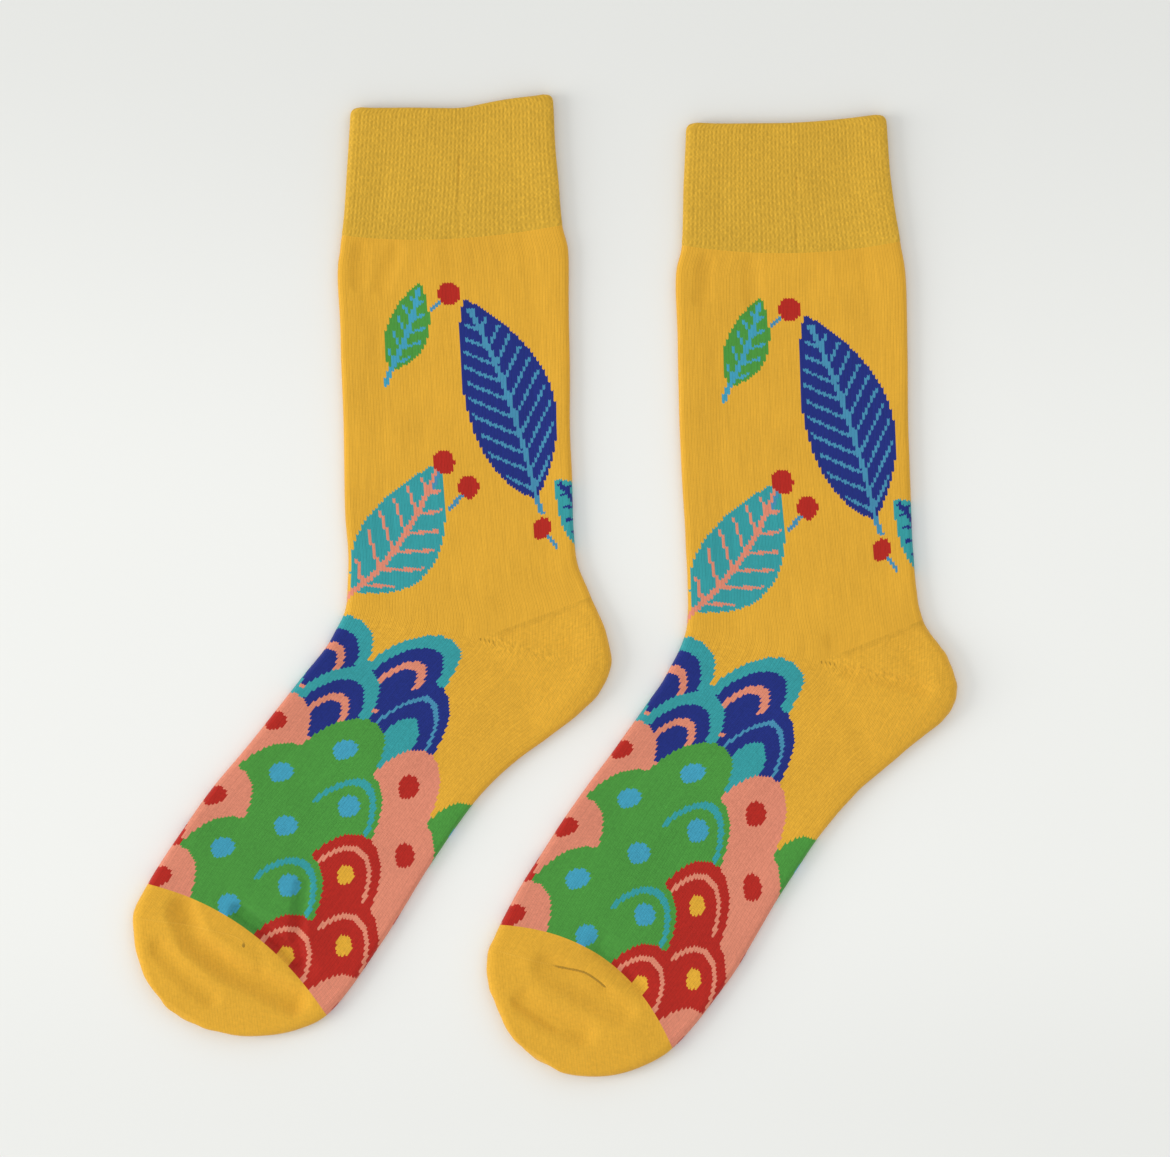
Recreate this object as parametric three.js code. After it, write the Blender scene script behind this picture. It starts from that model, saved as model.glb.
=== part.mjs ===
// A pair of crew socks laid flat side by side, toes to the lower left, seen from above. Millimetres, +Z up.
// Each sock is one knitted tube pressed flat: a ribbed cuff, a leg, a heel pocket, a foot and a toe pocket.
// The knitting is a wall round a thin hollow, with folded edges at the front and the back. It rests on z = 0.
// The origin is the centre of the pair's footprint, +X runs to the right and +Y from the toes to the cuffs.
import * as THREE from "three";

// Driving sizes
const CLOTH = 1.3; // wall of the leg, heel, foot and toe
const CUFF_CLOTH = 1.6; // wall of the turned, double cuff
const SEAM_GAP = 0.3; // between two neighbouring pieces of one sock
const RIB_HEIGHT = 0.3; // ridges of the cuff, raised on its outside
const RIBS_ACROSS = 48; // ridges across the upper side of a cuff
const EDGE_FALL = 14; // how far from a folded edge its extra thickness dies away
const SHOULDER = 5; // width beside a folded edge where the troughs run out
const HEEL_SWELL = 1.4; // how much thicker the folded edge is at the tip of the heel
const HEEL_START = 0.012; // share of a course left open at the point where the heel pocket fans out
const LEAST_HOLLOW = 0.4; // between the two walls where a trough presses them together
const LEAST_FOLD = 0.05; // radius that a folded edge keeps on the inside of a thin end
const WIDEST_FOLD = 0.45; // largest share of a narrow course that one folded edge takes up
const HOLLOW_ENDS = 1.6; // rows from the last course of the toe's hollow to the tip of the toe
const HOLLOW_TIP = 1.1; // rows from the end of the hollow to the tip of the toe

// Steps of the mesh. A loop is cut into its upper side, the back fold, the underside and the front fold.
const LEG_LOOP = { upper: 14, fold: 4, under: 6 };
const FOOT_LOOP = { upper: 18, fold: 4, under: 6 };
const CUFF_LOOP = { upper: 2 * RIBS_ACROSS, fold: 6, under: 6 };
const ROWS = { cuff: 3, leg: 9, heel: 8, foot: 14, toe: 10, toeInside: 7 };

// A row is one course of knitting: the place where it crosses the front fold, the middle of the side and the
// back fold, the thickness of the sock at its folded edges and in its middle, and how sharply the course turns
// in its middle, from 0 for a smooth line to 1 for a corner.
const course = (front, middle, back, edge, flat, corner = 0) => ({ front, middle, back, edge, flat, corner });

// A trough of the upper side along a short line, with a depth and a half width. A negative depth is a swell.
const fold = (name, depth, width, along) => ({ name, depth, width, along });

const LEFT = {
  cuff: [
    course([-76.0, 187.0], [-36.0, 187.0], [3.0, 192.5], 5.0, 4.4),
    course([-77.5, 162.0], [-37.0, 161.0], [4.5, 164.5], 5.0, 4.2),
    course([-79.5, 137.0], [-38.5, 135.5], [7.0, 141.0], 4.8, 4.0),
  ],
  leg: [
    course([-81.0, 127.0], [-37.5, 126.0], [9.0, 130.0], 4.6, 3.6),
    course([-80.0, 96.0], [-35.5, 95.0], [9.5, 97.5], 4.4, 3.4),
    course([-79.0, 61.0], [-33.5, 58.5], [10.0, 63.0], 4.4, 3.4),
    course([-78.0, 25.5], [-30.5, 21.5], [11.0, 29.5], 4.4, 3.6, 0.1),
    course([-77.0, 4.0], [-28.0, -2.0], [12.5, 10.0], 4.6, 3.8, 0.4),
    course([-78.5, -10.0], [-26.0, -21.0], [18.0, -4.5], 4.8, 4.2, 1),
  ],
  heelBack: [[22, -13.5], [25, -22.5], [26, -29.5], [24, -37.5], [19.5, -44.5], [12, -51.5], [1, -60]],
  heelTip: [26.0, -29.5],
  foot: [
    course([-84.0, -21.5], [-36.0, -32.0], [-10.0, -68.0], 4.8, 4.0, 0.8),
    course([-97.0, -38.5], [-54.0, -52.0], [-25.5, -82.5], 4.8, 3.8, 0.5),
    course([-117.5, -64.0], [-77.5, -82.5], [-46.0, -111.5], 4.6, 3.6, 0.1),
    course([-138.0, -90.0], [-97.5, -108.5], [-64.5, -141.0], 4.8, 4.0),
    course([-155.5, -117.0], [-116.5, -135.0], [-85.5, -168.5], 5.4, 5.4),
  ],
  toe: [
    course([-161.0, -128.0], [-122.5, -145.0], [-96.5, -174.0], 6.0, 6.6),
    course([-160.5, -141.0], [-130.0, -155.5], [-108.5, -176.5], 6.2, 6.6),
    course([-157.5, -152.0], [-136.0, -164.0], [-120.5, -176.5], 6.2, 6.4),
    course([-152.5, -160.0], [-140.0, -168.0], [-130.5, -174.5], 6.0, 6.0),
    course([-148.0, -165.5], [-142.5, -169.0], [-137.5, -172.0], 4.4, 4.4),
    course([-143.2, -169.4], [-142.8, -169.7], [-142.4, -170.0], 0.8, 0.8),
  ],
  folds: [
    fold("beside the toe pocket", 1.7, 4.0, [[-119, -127], [-99.5, -150]]),
    fold("along the foot", 1.0, 5, [[-98, -112], [-97.5, -144]]),
    fold("valley of the toe", 3.0, 4.2, [[-141, -127.5], [-136, -138.5], [-122.5, -147.5], [-104, -157]]),
    fold("gather under the cuff, front", 0.9, 2.6, [[-72.5, 131], [-73, 119]]),
    fold("gather under the cuff, middle", 0.8, 2.8, [[-57.5, 131], [-60.5, 117]]),
    fold("swell of the heel", -1.2, 14, [[2, -26], [10, -36]]),
  ],
};

const RIGHT = {
  cuff: [
    course([55.5, 181.0], [95.0, 181.0], [133.5, 184.5], 5.0, 4.4),
    course([54.5, 158.0], [95.5, 157.5], [135.5, 159.0], 5.0, 4.2),
    course([53.5, 133.0], [97.0, 130.0], [139.0, 134.5], 4.8, 4.0),
  ],
  leg: [
    course([51.5, 122.5], [96.5, 120.5], [141.0, 124.5], 4.6, 3.6),
    course([52.0, 94.0], [97.5, 91.5], [142.0, 94.0], 4.4, 3.4),
    course([53.0, 57.0], [99.0, 53.0], [142.5, 57.5], 4.4, 3.4),
    course([55.0, 18.5], [102.5, 13.0], [144.0, 21.5], 4.4, 3.6, 0.1),
    course([56.0, -4.5], [105.5, -11.0], [145.5, -1.5], 4.6, 3.8, 0.4),
    course([55.0, -18.5], [107.5, -30.0], [148.0, -13.5], 4.8, 4.2, 1),
  ],
  heelBack: [[152.5, -21], [157.5, -28], [161, -37], [161, -44.5], [157, -52], [148.5, -59], [134, -71]],
  heelTip: [161.5, -41.0],
  foot: [
    course([48.5, -33.5], [96.0, -44.5], [121.5, -82.0], 4.8, 4.0, 0.8),
    course([37.5, -50.0], [81.5, -62.0], [109.0, -96.5], 4.8, 3.8, 0.5),
    course([19.0, -75.5], [59.5, -91.0], [90.0, -125.0], 4.6, 3.6, 0.1),
    course([0.5, -102.0], [42.0, -119.0], [72.0, -155.0], 4.8, 4.0),
    course([-17.5, -133.0], [23.5, -146.5], [50.0, -181.5], 5.4, 5.2),
  ],
  toe: [
    course([-22.5, -145.0], [16.5, -158.0], [39.5, -188.0], 6.0, 6.4),
    course([-22.0, -157.0], [9.5, -170.0], [27.0, -192.0], 6.2, 6.4),
    course([-18.5, -166.5], [2.5, -178.5], [16.0, -192.5], 6.2, 6.2),
    course([-13.0, -177.0], [-1.5, -184.5], [6.5, -191.0], 6.0, 5.8),
    course([-7.5, -182.5], [-2.5, -185.5], [2.0, -188.5], 4.4, 4.4),
    course([-3.5, -186.0], [-3.1, -186.3], [-2.7, -186.6], 0.8, 0.8),
  ],
  folds: [
    fold("beside the toe pocket", 1.2, 4.0, [[22, -141.5], [39, -159]]),
    fold("valley of the toe", 1.9, 4.2, [[1, -149.5], [21, -161], [34, -165]]),
    fold("lower valley of the toe", 1.4, 4.2, [[-8, -163], [1.5, -169.5], [15, -175.5]]),
    fold("gather under the cuff, front", 0.9, 2.6, [[63, 126], [62, 113]]),
    fold("gather under the cuff, middle", 0.8, 2.8, [[81, 126], [82, 110]]),
    fold("swell of the heel", -1.2, 14, [[136, -34], [144, -46]]),
  ],
};

const flatPoint = ([x, y]) => new THREE.Vector3(x, y, 0);
const smoothLine = (points) => new THREE.CatmullRomCurve3(points.map(flatPoint), false, "centripetal");

// The pattern of one sock: smooth lines down the front fold, the middle and the back fold, and what a course is
// at any place between two rows. The heel pocket lies between the last course of the leg and the first of the
// foot, and only its back fold moves on.
function patternOf(sock) {
  const rows = [...sock.cuff, ...sock.leg, ...sock.foot, ...sock.toe];
  const last = rows.length - 1;
  const ankle = sock.cuff.length + sock.leg.length - 1;
  const heelRows = sock.heelBack.length;
  const front = smoothLine(rows.map((r) => r.front));
  const middle = smoothLine(rows.map((r) => r.middle));
  const backs = rows.map((r) => r.back);
  backs.splice(ankle + 1, 0, ...sock.heelBack);
  const back = smoothLine(backs);
  const backAt = (row) => back.getPoint(row / (last + heelRows));

  const between = (key, at) => {
    const low = Math.min(Math.floor(at), last - 1);
    return THREE.MathUtils.lerp(rows[low][key], rows[low + 1][key], at - low);
  };

  // A course of the tube at `at` rows from the cuff's mouth; `past` is true below the heel pocket.
  const tubeCourse = (at, past) => ({
    front: front.getPoint(at / last),
    middle: middle.getPoint(at / last),
    back: backAt(past ? at + heelRows : at),
    edge: between("edge", at),
    flat: between("flat", at),
    corner: between("corner", at),
  });

  // The point that the heel pocket fans out from, moved into the pocket by half a gap from both its sides.
  const ankleMiddle = middle.getPoint(ankle / last);
  const ways = [ankle, ankle + heelRows].map((row) => backAt(row).sub(ankleMiddle).normalize());
  const halfAngleSine = Math.sqrt((1 - ways[0].dot(ways[1])) / 2);
  const inward = ways[0].add(ways[1]).normalize();
  const heelPoint = ankleMiddle.clone().addScaledVector(inward, SEAM_GAP / 2 / halfAngleSine);

  // A course of the heel pocket, from 0 at the leg to 1 at the foot. It swells towards the tip of the heel.
  const heelCourse = (share) => ({
    ...tubeCourse(ankle, false),
    middle: heelPoint.clone(),
    back: backAt(ankle + share * heelRows),
    edge: rows[ankle].edge + HEEL_SWELL * Math.sin(Math.PI * share),
  });
  const tip = flatPoint(sock.heelTip);
  const heelLength = tip.distanceTo(backAt(ankle)) + tip.distanceTo(backAt(ankle + heelRows));
  return { sock, ankle, last, heelLength, tubeCourse, heelCourse };
}

// A smooth bump of height 1 at 0 that has died away at 1.
const bump = (x) => (x >= 1 ? 0 : (1 - x * x) ** 2);

// Distance from a point of the plan to a line of straight stretches.
function distanceTo(line, point) {
  const nearest = new THREE.Vector3();
  const distances = line.slice(1).map((end, i) => {
    new THREE.Line3(flatPoint(line[i]), flatPoint(end)).closestPointToPoint(point, true, nearest);
    return nearest.distanceTo(point);
  });
  return Math.min(...distances);
}

// The plan of a course: two arcs that meet in the middle of the side.
function planOf(sock, c) {
  const through = c.back.clone().sub(c.front).divideScalar(4);
  const toTip = flatPoint(sock.heelTip).sub(c.front).divideScalar(4);
  const straight = c.back.clone().sub(c.middle).divideScalar(2);
  const frontBend = c.middle.clone().sub(through.clone().lerp(toTip, c.corner));
  const backBend = c.middle.clone().add(through.lerp(straight, c.corner));
  const frontHalf = new THREE.QuadraticBezierCurve3(c.front, frontBend, c.middle);
  const backHalf = new THREE.QuadraticBezierCurve3(c.middle, backBend, c.back);
  const at = (share) => (share <= 0.5 ? frontHalf.getPoint(2 * share) : backHalf.getPoint(2 * share - 1));
  return { width: frontHalf.getLength() + backHalf.getLength(), at };
}

// Height of the upper side above the floor: thicker beside the folded edges, pressed or swollen by the folds.
function upperHeight(sock, c, fromEdge, point) {
  const lift = (c.edge - c.flat) * bump(Math.max(0, fromEdge - c.edge / 2) / EDGE_FALL);
  const free = THREE.MathUtils.smoothstep(fromEdge, c.edge / 2, c.edge / 2 + SHOULDER);
  const pressed = sock.folds.map((f) => f.depth * bump(distanceTo(f.along, point) / (2 * f.width)));
  const height = c.flat + lift - free * pressed.reduce((sum, depth) => sum + depth, 0);
  return Math.max(height, 2 * CLOTH + LEAST_HOLLOW);
}

// The places round a loop, in order: the upper side from front to back, the back fold, the underside and the
// front fold. A loop that starts at a `from` above 0 is only the back part of one, and it has no front fold.
function loopPlaces(steps, from = 0) {
  const stretch = (zone, count, start, end) =>
    Array.from({ length: count }, (_, i) => ({ zone, share: start + ((end - start) * i) / count, index: i }));
  const upper = stretch("upper", Math.round(steps.upper * (1 - from)), from, 1);
  const backFold = stretch("backFold", steps.fold, 0, 1);
  const under = stretch("under", Math.round(steps.under * (1 - from)), 0, 1 - from);
  const lastPlace = { zone: "under", share: 1 - from, index: 0 };
  const end = from === 0 ? stretch("frontFold", steps.fold, 0, 1) : [lastPlace];
  return [...upper, ...backFold, ...under, ...end];
}

// One point of a loop. `inset` is 0 on the outside and the wall's thickness on the inside.
function loopPoint(sock, c, place, inset, rib) {
  const plan = planOf(sock, c);
  const reach = Math.max(Math.min(c.edge / 2, WIDEST_FOLD * plan.width) - inset, LEAST_FOLD);
  const halfHeight = Math.max(c.edge / 2 - inset, LEAST_FOLD);
  const inner = plan.width - 2 * (inset + reach);
  const turn = Math.PI * (place.share - 0.5);
  const fromFront = {
    upper: inset + reach + inner * place.share,
    backFold: plan.width - inset - reach + reach * Math.cos(turn),
    under: plan.width - inset - reach - inner * place.share,
    frontFold: inset + reach - reach * Math.cos(turn),
  }[place.zone];
  const point = plan.at(fromFront / plan.width);
  const fromEdge = Math.min(fromFront, plan.width - fromFront);
  const height = {
    upper: () => upperHeight(sock, c, fromEdge, point) - inset + (place.index % 2 ? rib : 0),
    backFold: () => c.edge / 2 - halfHeight * Math.sin(turn),
    under: () => inset,
    frontFold: () => c.edge / 2 + halfHeight * Math.sin(turn),
  }[place.zone];
  return point.setZ(height());
}

const loopOf = (sock, c, places, inset, rib = 0) => places.map((p) => loopPoint(sock, c, p, inset, rib));

// Collects points and faces. A strip joins two rows of points, and a closed one runs all the way round.
function shell() {
  const points = [];
  const faces = [];
  const addRow = (row) => row.map((p) => points.push(p) - 1);
  const strip = (a, b, closed) => {
    const count = closed ? a.length : a.length - 1;
    for (let i = 0; i < count; i++) {
      const j = (i + 1) % a.length;
      faces.push([a[i], b[i], b[j]], [a[i], b[j], a[j]]);
    }
  };
  const grid = (rows, closed) => rows.slice(1).forEach((row, i) => strip(rows[i], row, closed));
  const cap = (row, centre) => {
    const tip = points.push(centre) - 1;
    row.forEach((p, i) => faces.push([p, tip, row[(i + 1) % row.length]]));
  };
  const geometry = () => new THREE.BufferGeometry().setFromPoints(points).setIndex(faces.flat());
  return { addRow, strip, grid, cap, geometry };
}

const spread = (from, to, count) =>
  Array.from({ length: count + 1 }, (_, i) => from + ((to - from) * i) / count);
const reversed = (rows) => [...rows].reverse();

// The two faces of a wall, and its edges at the first and the last course.
function wall(build, outside, inside, closed) {
  build.grid(outside, closed);
  build.grid(reversed(inside), closed);
  build.strip(inside[0], outside[0], closed);
  build.strip(outside.at(-1), inside.at(-1), closed);
}

// A tube of knitting from row `from` to row `to`, open at both ends.
function tube(pattern, { from, to, past = false, rowCount, loop, cloth = CLOTH, rib = 0 }) {
  const places = loopPlaces(loop);
  const build = shell();
  const courses = spread(from, to, rowCount).map((at) => pattern.tubeCourse(at, past));
  const outside = courses.map((c) => build.addRow(loopOf(pattern.sock, c, places, 0, rib)));
  const inside = courses.map((c) => build.addRow(loopOf(pattern.sock, c, places, cloth)));
  wall(build, outside, inside, true);
  return build.geometry();
}

// The heel pocket: half a loop of knitting that fans out from a point on each side round the back heel.
function heelPocket(pattern) {
  const places = loopPlaces(FOOT_LOOP, 0.5 + HEEL_START);
  const build = shell();
  const margin = SEAM_GAP / 2 / pattern.heelLength;
  const courses = spread(margin, 1 - margin, ROWS.heel).map(pattern.heelCourse);
  const outside = courses.map((c) => build.addRow(loopOf(pattern.sock, c, places, 0)));
  const inside = courses.map((c) => build.addRow(loopOf(pattern.sock, c, places, CLOTH)));
  wall(build, outside, inside, false);
  const side = (rows, place) => rows.map((row) => row.at(place));
  build.strip(side(outside, 0), side(inside, 0), false);
  build.strip(side(inside, -1), side(outside, -1), false);
  return build.geometry();
}

// The toe pocket from row `from` on: its courses close in on the tip of the toe.
function toePocket(pattern, from) {
  const places = loopPlaces(FOOT_LOOP);
  const build = shell();
  const ring = (at, inset) => build.addRow(loopOf(pattern.sock, pattern.tubeCourse(at, true), places, inset));
  const tipAt = (at) => {
    const c = pattern.tubeCourse(at, true);
    return c.middle.setZ(c.edge / 2);
  };
  const outside = spread(from, pattern.last, ROWS.toe).slice(0, -1).map((at) => ring(at, 0));
  const inside = spread(from, pattern.last - HOLLOW_ENDS, ROWS.toeInside).map((at) => ring(at, CLOTH));
  build.grid(outside, true);
  build.grid(reversed(inside), true);
  build.strip(inside[0], outside[0], true);
  build.cap(outside.at(-1), tipAt(pattern.last));
  build.cap(reversed(inside.at(-1)), tipAt(pattern.last - HOLLOW_TIP));
  return build.geometry();
}

const yarn = (name, color) => new THREE.MeshStandardMaterial({ name, color, roughness: 0.9, metalness: 0 });
const YARNS = {
  cuff: yarn("cuff", 0xcda332),
  leg: yarn("leg", 0xdcaa38),
  heel: yarn("heel", 0xdeac3a),
  foot: yarn("foot", 0x4c9040),
  toe: yarn("toe", 0xe2b03a),
};

// One sock, with half a gap kept on each side of its seams.
function makeSock(name, sock) {
  const pattern = patternOf(sock);
  const cuffEnd = sock.cuff.length - 1;
  const toeStart = pattern.ankle + sock.foot.length;
  // Half a gap before or after a seam, in rows: `side` is -1 before it and 1 after it.
  const beside = (row, side, past) => {
    const step = 0.1;
    const seam = pattern.tubeCourse(row, past).middle;
    const run = seam.distanceTo(pattern.tubeCourse(row + side * step, past).middle);
    return row + (side * step * SEAM_GAP) / 2 / run;
  };
  const cuffRows = { from: 0, to: beside(cuffEnd, -1, false), rowCount: ROWS.cuff };
  const legRows = { from: beside(cuffEnd, 1, false), to: beside(pattern.ankle, -1, false), rowCount: ROWS.leg };
  const footStart = beside(pattern.ankle, 1, true);
  const footRows = { from: footStart, to: beside(toeStart, -1, true), rowCount: ROWS.foot };
  const pieces = {
    cuff: tube(pattern, { ...cuffRows, loop: CUFF_LOOP, cloth: CUFF_CLOTH, rib: RIB_HEIGHT }),
    leg: tube(pattern, { ...legRows, loop: LEG_LOOP }),
    heel: heelPocket(pattern),
    foot: tube(pattern, { ...footRows, loop: FOOT_LOOP, past: true }),
    toe: toePocket(pattern, beside(toeStart, 1, true)),
  };
  const group = new THREE.Group();
  for (const [piece, geometry] of Object.entries(pieces)) {
    geometry.computeVertexNormals();
    const mesh = new THREE.Mesh(geometry, YARNS[piece]);
    mesh.name = `${name}_${piece}`;
    group.add(mesh);
  }
  return group;
}

const pair = new THREE.Group();
pair.add(makeSock("left", LEFT), makeSock("right", RIGHT));

export default pair;
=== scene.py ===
"""A pair of knitted crew socks laid flat side by side, seen from straight above.

Each sock is one tube of knitting pressed flat: a ribbed, turned cuff, a leg, a heel pocket, a foot and a toe
pocket that a sewn seam closes. The sizes of the pattern are in millimetres, as a maker would write them, and
the pieces are built in metres. +X runs to the right, +Y from the toes to the cuffs, +Z up from the floor.
"""

import logging
import math
from dataclasses import dataclass, field
from enum import Enum

import bmesh
import bpy
import numpy as np
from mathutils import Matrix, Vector
from mathutils.bvhtree import BVHTree

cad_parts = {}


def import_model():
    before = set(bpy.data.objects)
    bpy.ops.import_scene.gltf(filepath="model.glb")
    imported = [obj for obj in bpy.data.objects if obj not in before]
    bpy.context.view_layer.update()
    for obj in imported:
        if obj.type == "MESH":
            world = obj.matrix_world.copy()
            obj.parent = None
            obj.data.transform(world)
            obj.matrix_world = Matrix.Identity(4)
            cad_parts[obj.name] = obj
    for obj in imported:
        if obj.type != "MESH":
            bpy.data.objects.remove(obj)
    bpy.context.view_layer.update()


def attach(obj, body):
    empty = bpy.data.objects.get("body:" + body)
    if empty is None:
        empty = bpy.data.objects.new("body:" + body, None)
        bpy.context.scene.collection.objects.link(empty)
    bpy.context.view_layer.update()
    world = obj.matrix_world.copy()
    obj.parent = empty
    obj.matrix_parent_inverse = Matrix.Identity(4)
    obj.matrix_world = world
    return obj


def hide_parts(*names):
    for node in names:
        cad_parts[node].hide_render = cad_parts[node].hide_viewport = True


log = logging.getLogger("socks")

MM = 0.001  # metres in a millimetre


@dataclass(frozen=True)
class Gauge:
    """How the tube is knitted: stitches round it, and what one stitch measures in millimetres."""

    side: int = 78  # wales across one side
    fold: int = 6  # wales round one folded edge
    wale: float = 1.1
    course: float = 0.84
    wall: float = 1.2
    cuff_wall: float = 1.6
    rib_height: float = 0.2
    ribs_side: int = 48
    ribs_fold: int = 4
    steps_per_rib: int = 4

    @property
    def around(self) -> int:
        """Wales all round the tube."""
        return 2 * (self.side + self.fold)

    @property
    def ribs_around(self) -> int:
        """Ribs all round the cuff."""
        return 2 * (self.ribs_side + self.ribs_fold)


GAUGE = Gauge()
EDGE_FALL = 14.0  # how far from a folded edge its extra thickness dies away
SHOULDER = 5.0  # width beside a folded edge where the troughs run out
HEEL_SWELL = 1.4  # extra thickness of the folded edge at the tip of the heel
LEAST_HOLLOW = 0.3  # height of the hollow in the deepest folds
LEAST_SLIT = 0.02  # height that is left between the two linings in any case
LEAST_FOLD = 0.05  # least half height of a folded edge
WIDEST_FOLD = 0.45  # share of a course's width that a folded edge takes at most
EDGE_WAVE = 0.16  # how far a folded edge wanders
RELIEF = 0.12  # how uneven the upper side is
UNDER_RELIEF = 0.06  # how uneven the underside is
SLANT = 0.6  # how far the legs of a stitch rise from its middle to its sides, in courses
STEP = 0.4  # rows of the pattern over which the way of the wales is read
SHARP_EDGE = 50.0  # angle in degrees above which an edge is shown sharp

Point = tuple[float, float]
Place = tuple[float, float, float]
Socket = bpy.types.NodeSocket


class Part(Enum):
    """The five knitted pieces of a sock, in the order in which they are worked."""

    CUFF = "cuff"
    LEG = "leg"
    HEEL = "heel"
    FOOT = "foot"
    TOE = "toe"


class Zone(Enum):
    """Where a place of the loop lies."""

    UPPER = 0
    BACK_FOLD = 1
    UNDER = 2
    FRONT_FOLD = 3


class Colour(Enum):
    """Dyed yarns, as sRGB values from 0 to 255."""

    GOLD = (221, 166, 49)
    WELT = (212, 166, 52)
    TEAL = (50, 152, 156)
    NAVY = (26, 42, 122)
    STEEL = (66, 138, 172)
    GREEN = (72, 146, 58)
    SALMON = (218, 134, 108)
    RED = (176, 34, 24)
    SKY = (62, 154, 182)

    @property
    def linear(self) -> tuple[float, float, float]:
        """The same colour in linear light."""
        return tuple(linear_light(channel / 255) for channel in self.value)


def linear_light(channel: float) -> float:
    """Turns one sRGB channel from 0 to 1 into linear light."""
    return channel / 12.92 if channel <= 0.04045 else ((channel + 0.055) / 1.055) ** 2.4


YARNS = list(Colour)


@dataclass(frozen=True)
class Course:
    """One course: where it crosses the front fold, the middle and the back fold, and how thick it is."""

    front: Point
    middle: Point
    back: Point
    edge: float  # height of its folded edges
    flat: float  # height between them
    corner: float = 0.0  # how sharply it bends in its middle, from 0 to 1


@dataclass(frozen=True)
class Fold:
    """A soft trough along a short line, with a depth and a half width. A ridge has a negative depth."""

    name: str
    depth: float
    width: float
    along: tuple[Point, ...]


@dataclass(frozen=True)
class Swell:
    """A small shift of the cuff's mouth along the leg, centred at a share of its width."""

    centre: float
    reach: float
    rise: float


@dataclass(frozen=True)
class SockPattern:
    """Everything that is measured on one sock."""

    name: str
    seed: int
    cuff: tuple[Course, ...]
    leg: tuple[Course, ...]
    heel_back: tuple[Point, ...]
    heel_tip: Point
    foot: tuple[Course, ...]
    toe: tuple[Course, ...]
    folds: tuple[Fold, ...]
    creases: tuple[Fold, ...]
    under_creases: tuple[Fold, ...]
    mouth: tuple[Swell, ...]
    toe_seam: tuple[Point, ...]
    seam_drawn_in: float  # how far along the toe seam it is drawn in; from there on the thread gets painted shade for the crease it lies in


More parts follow.
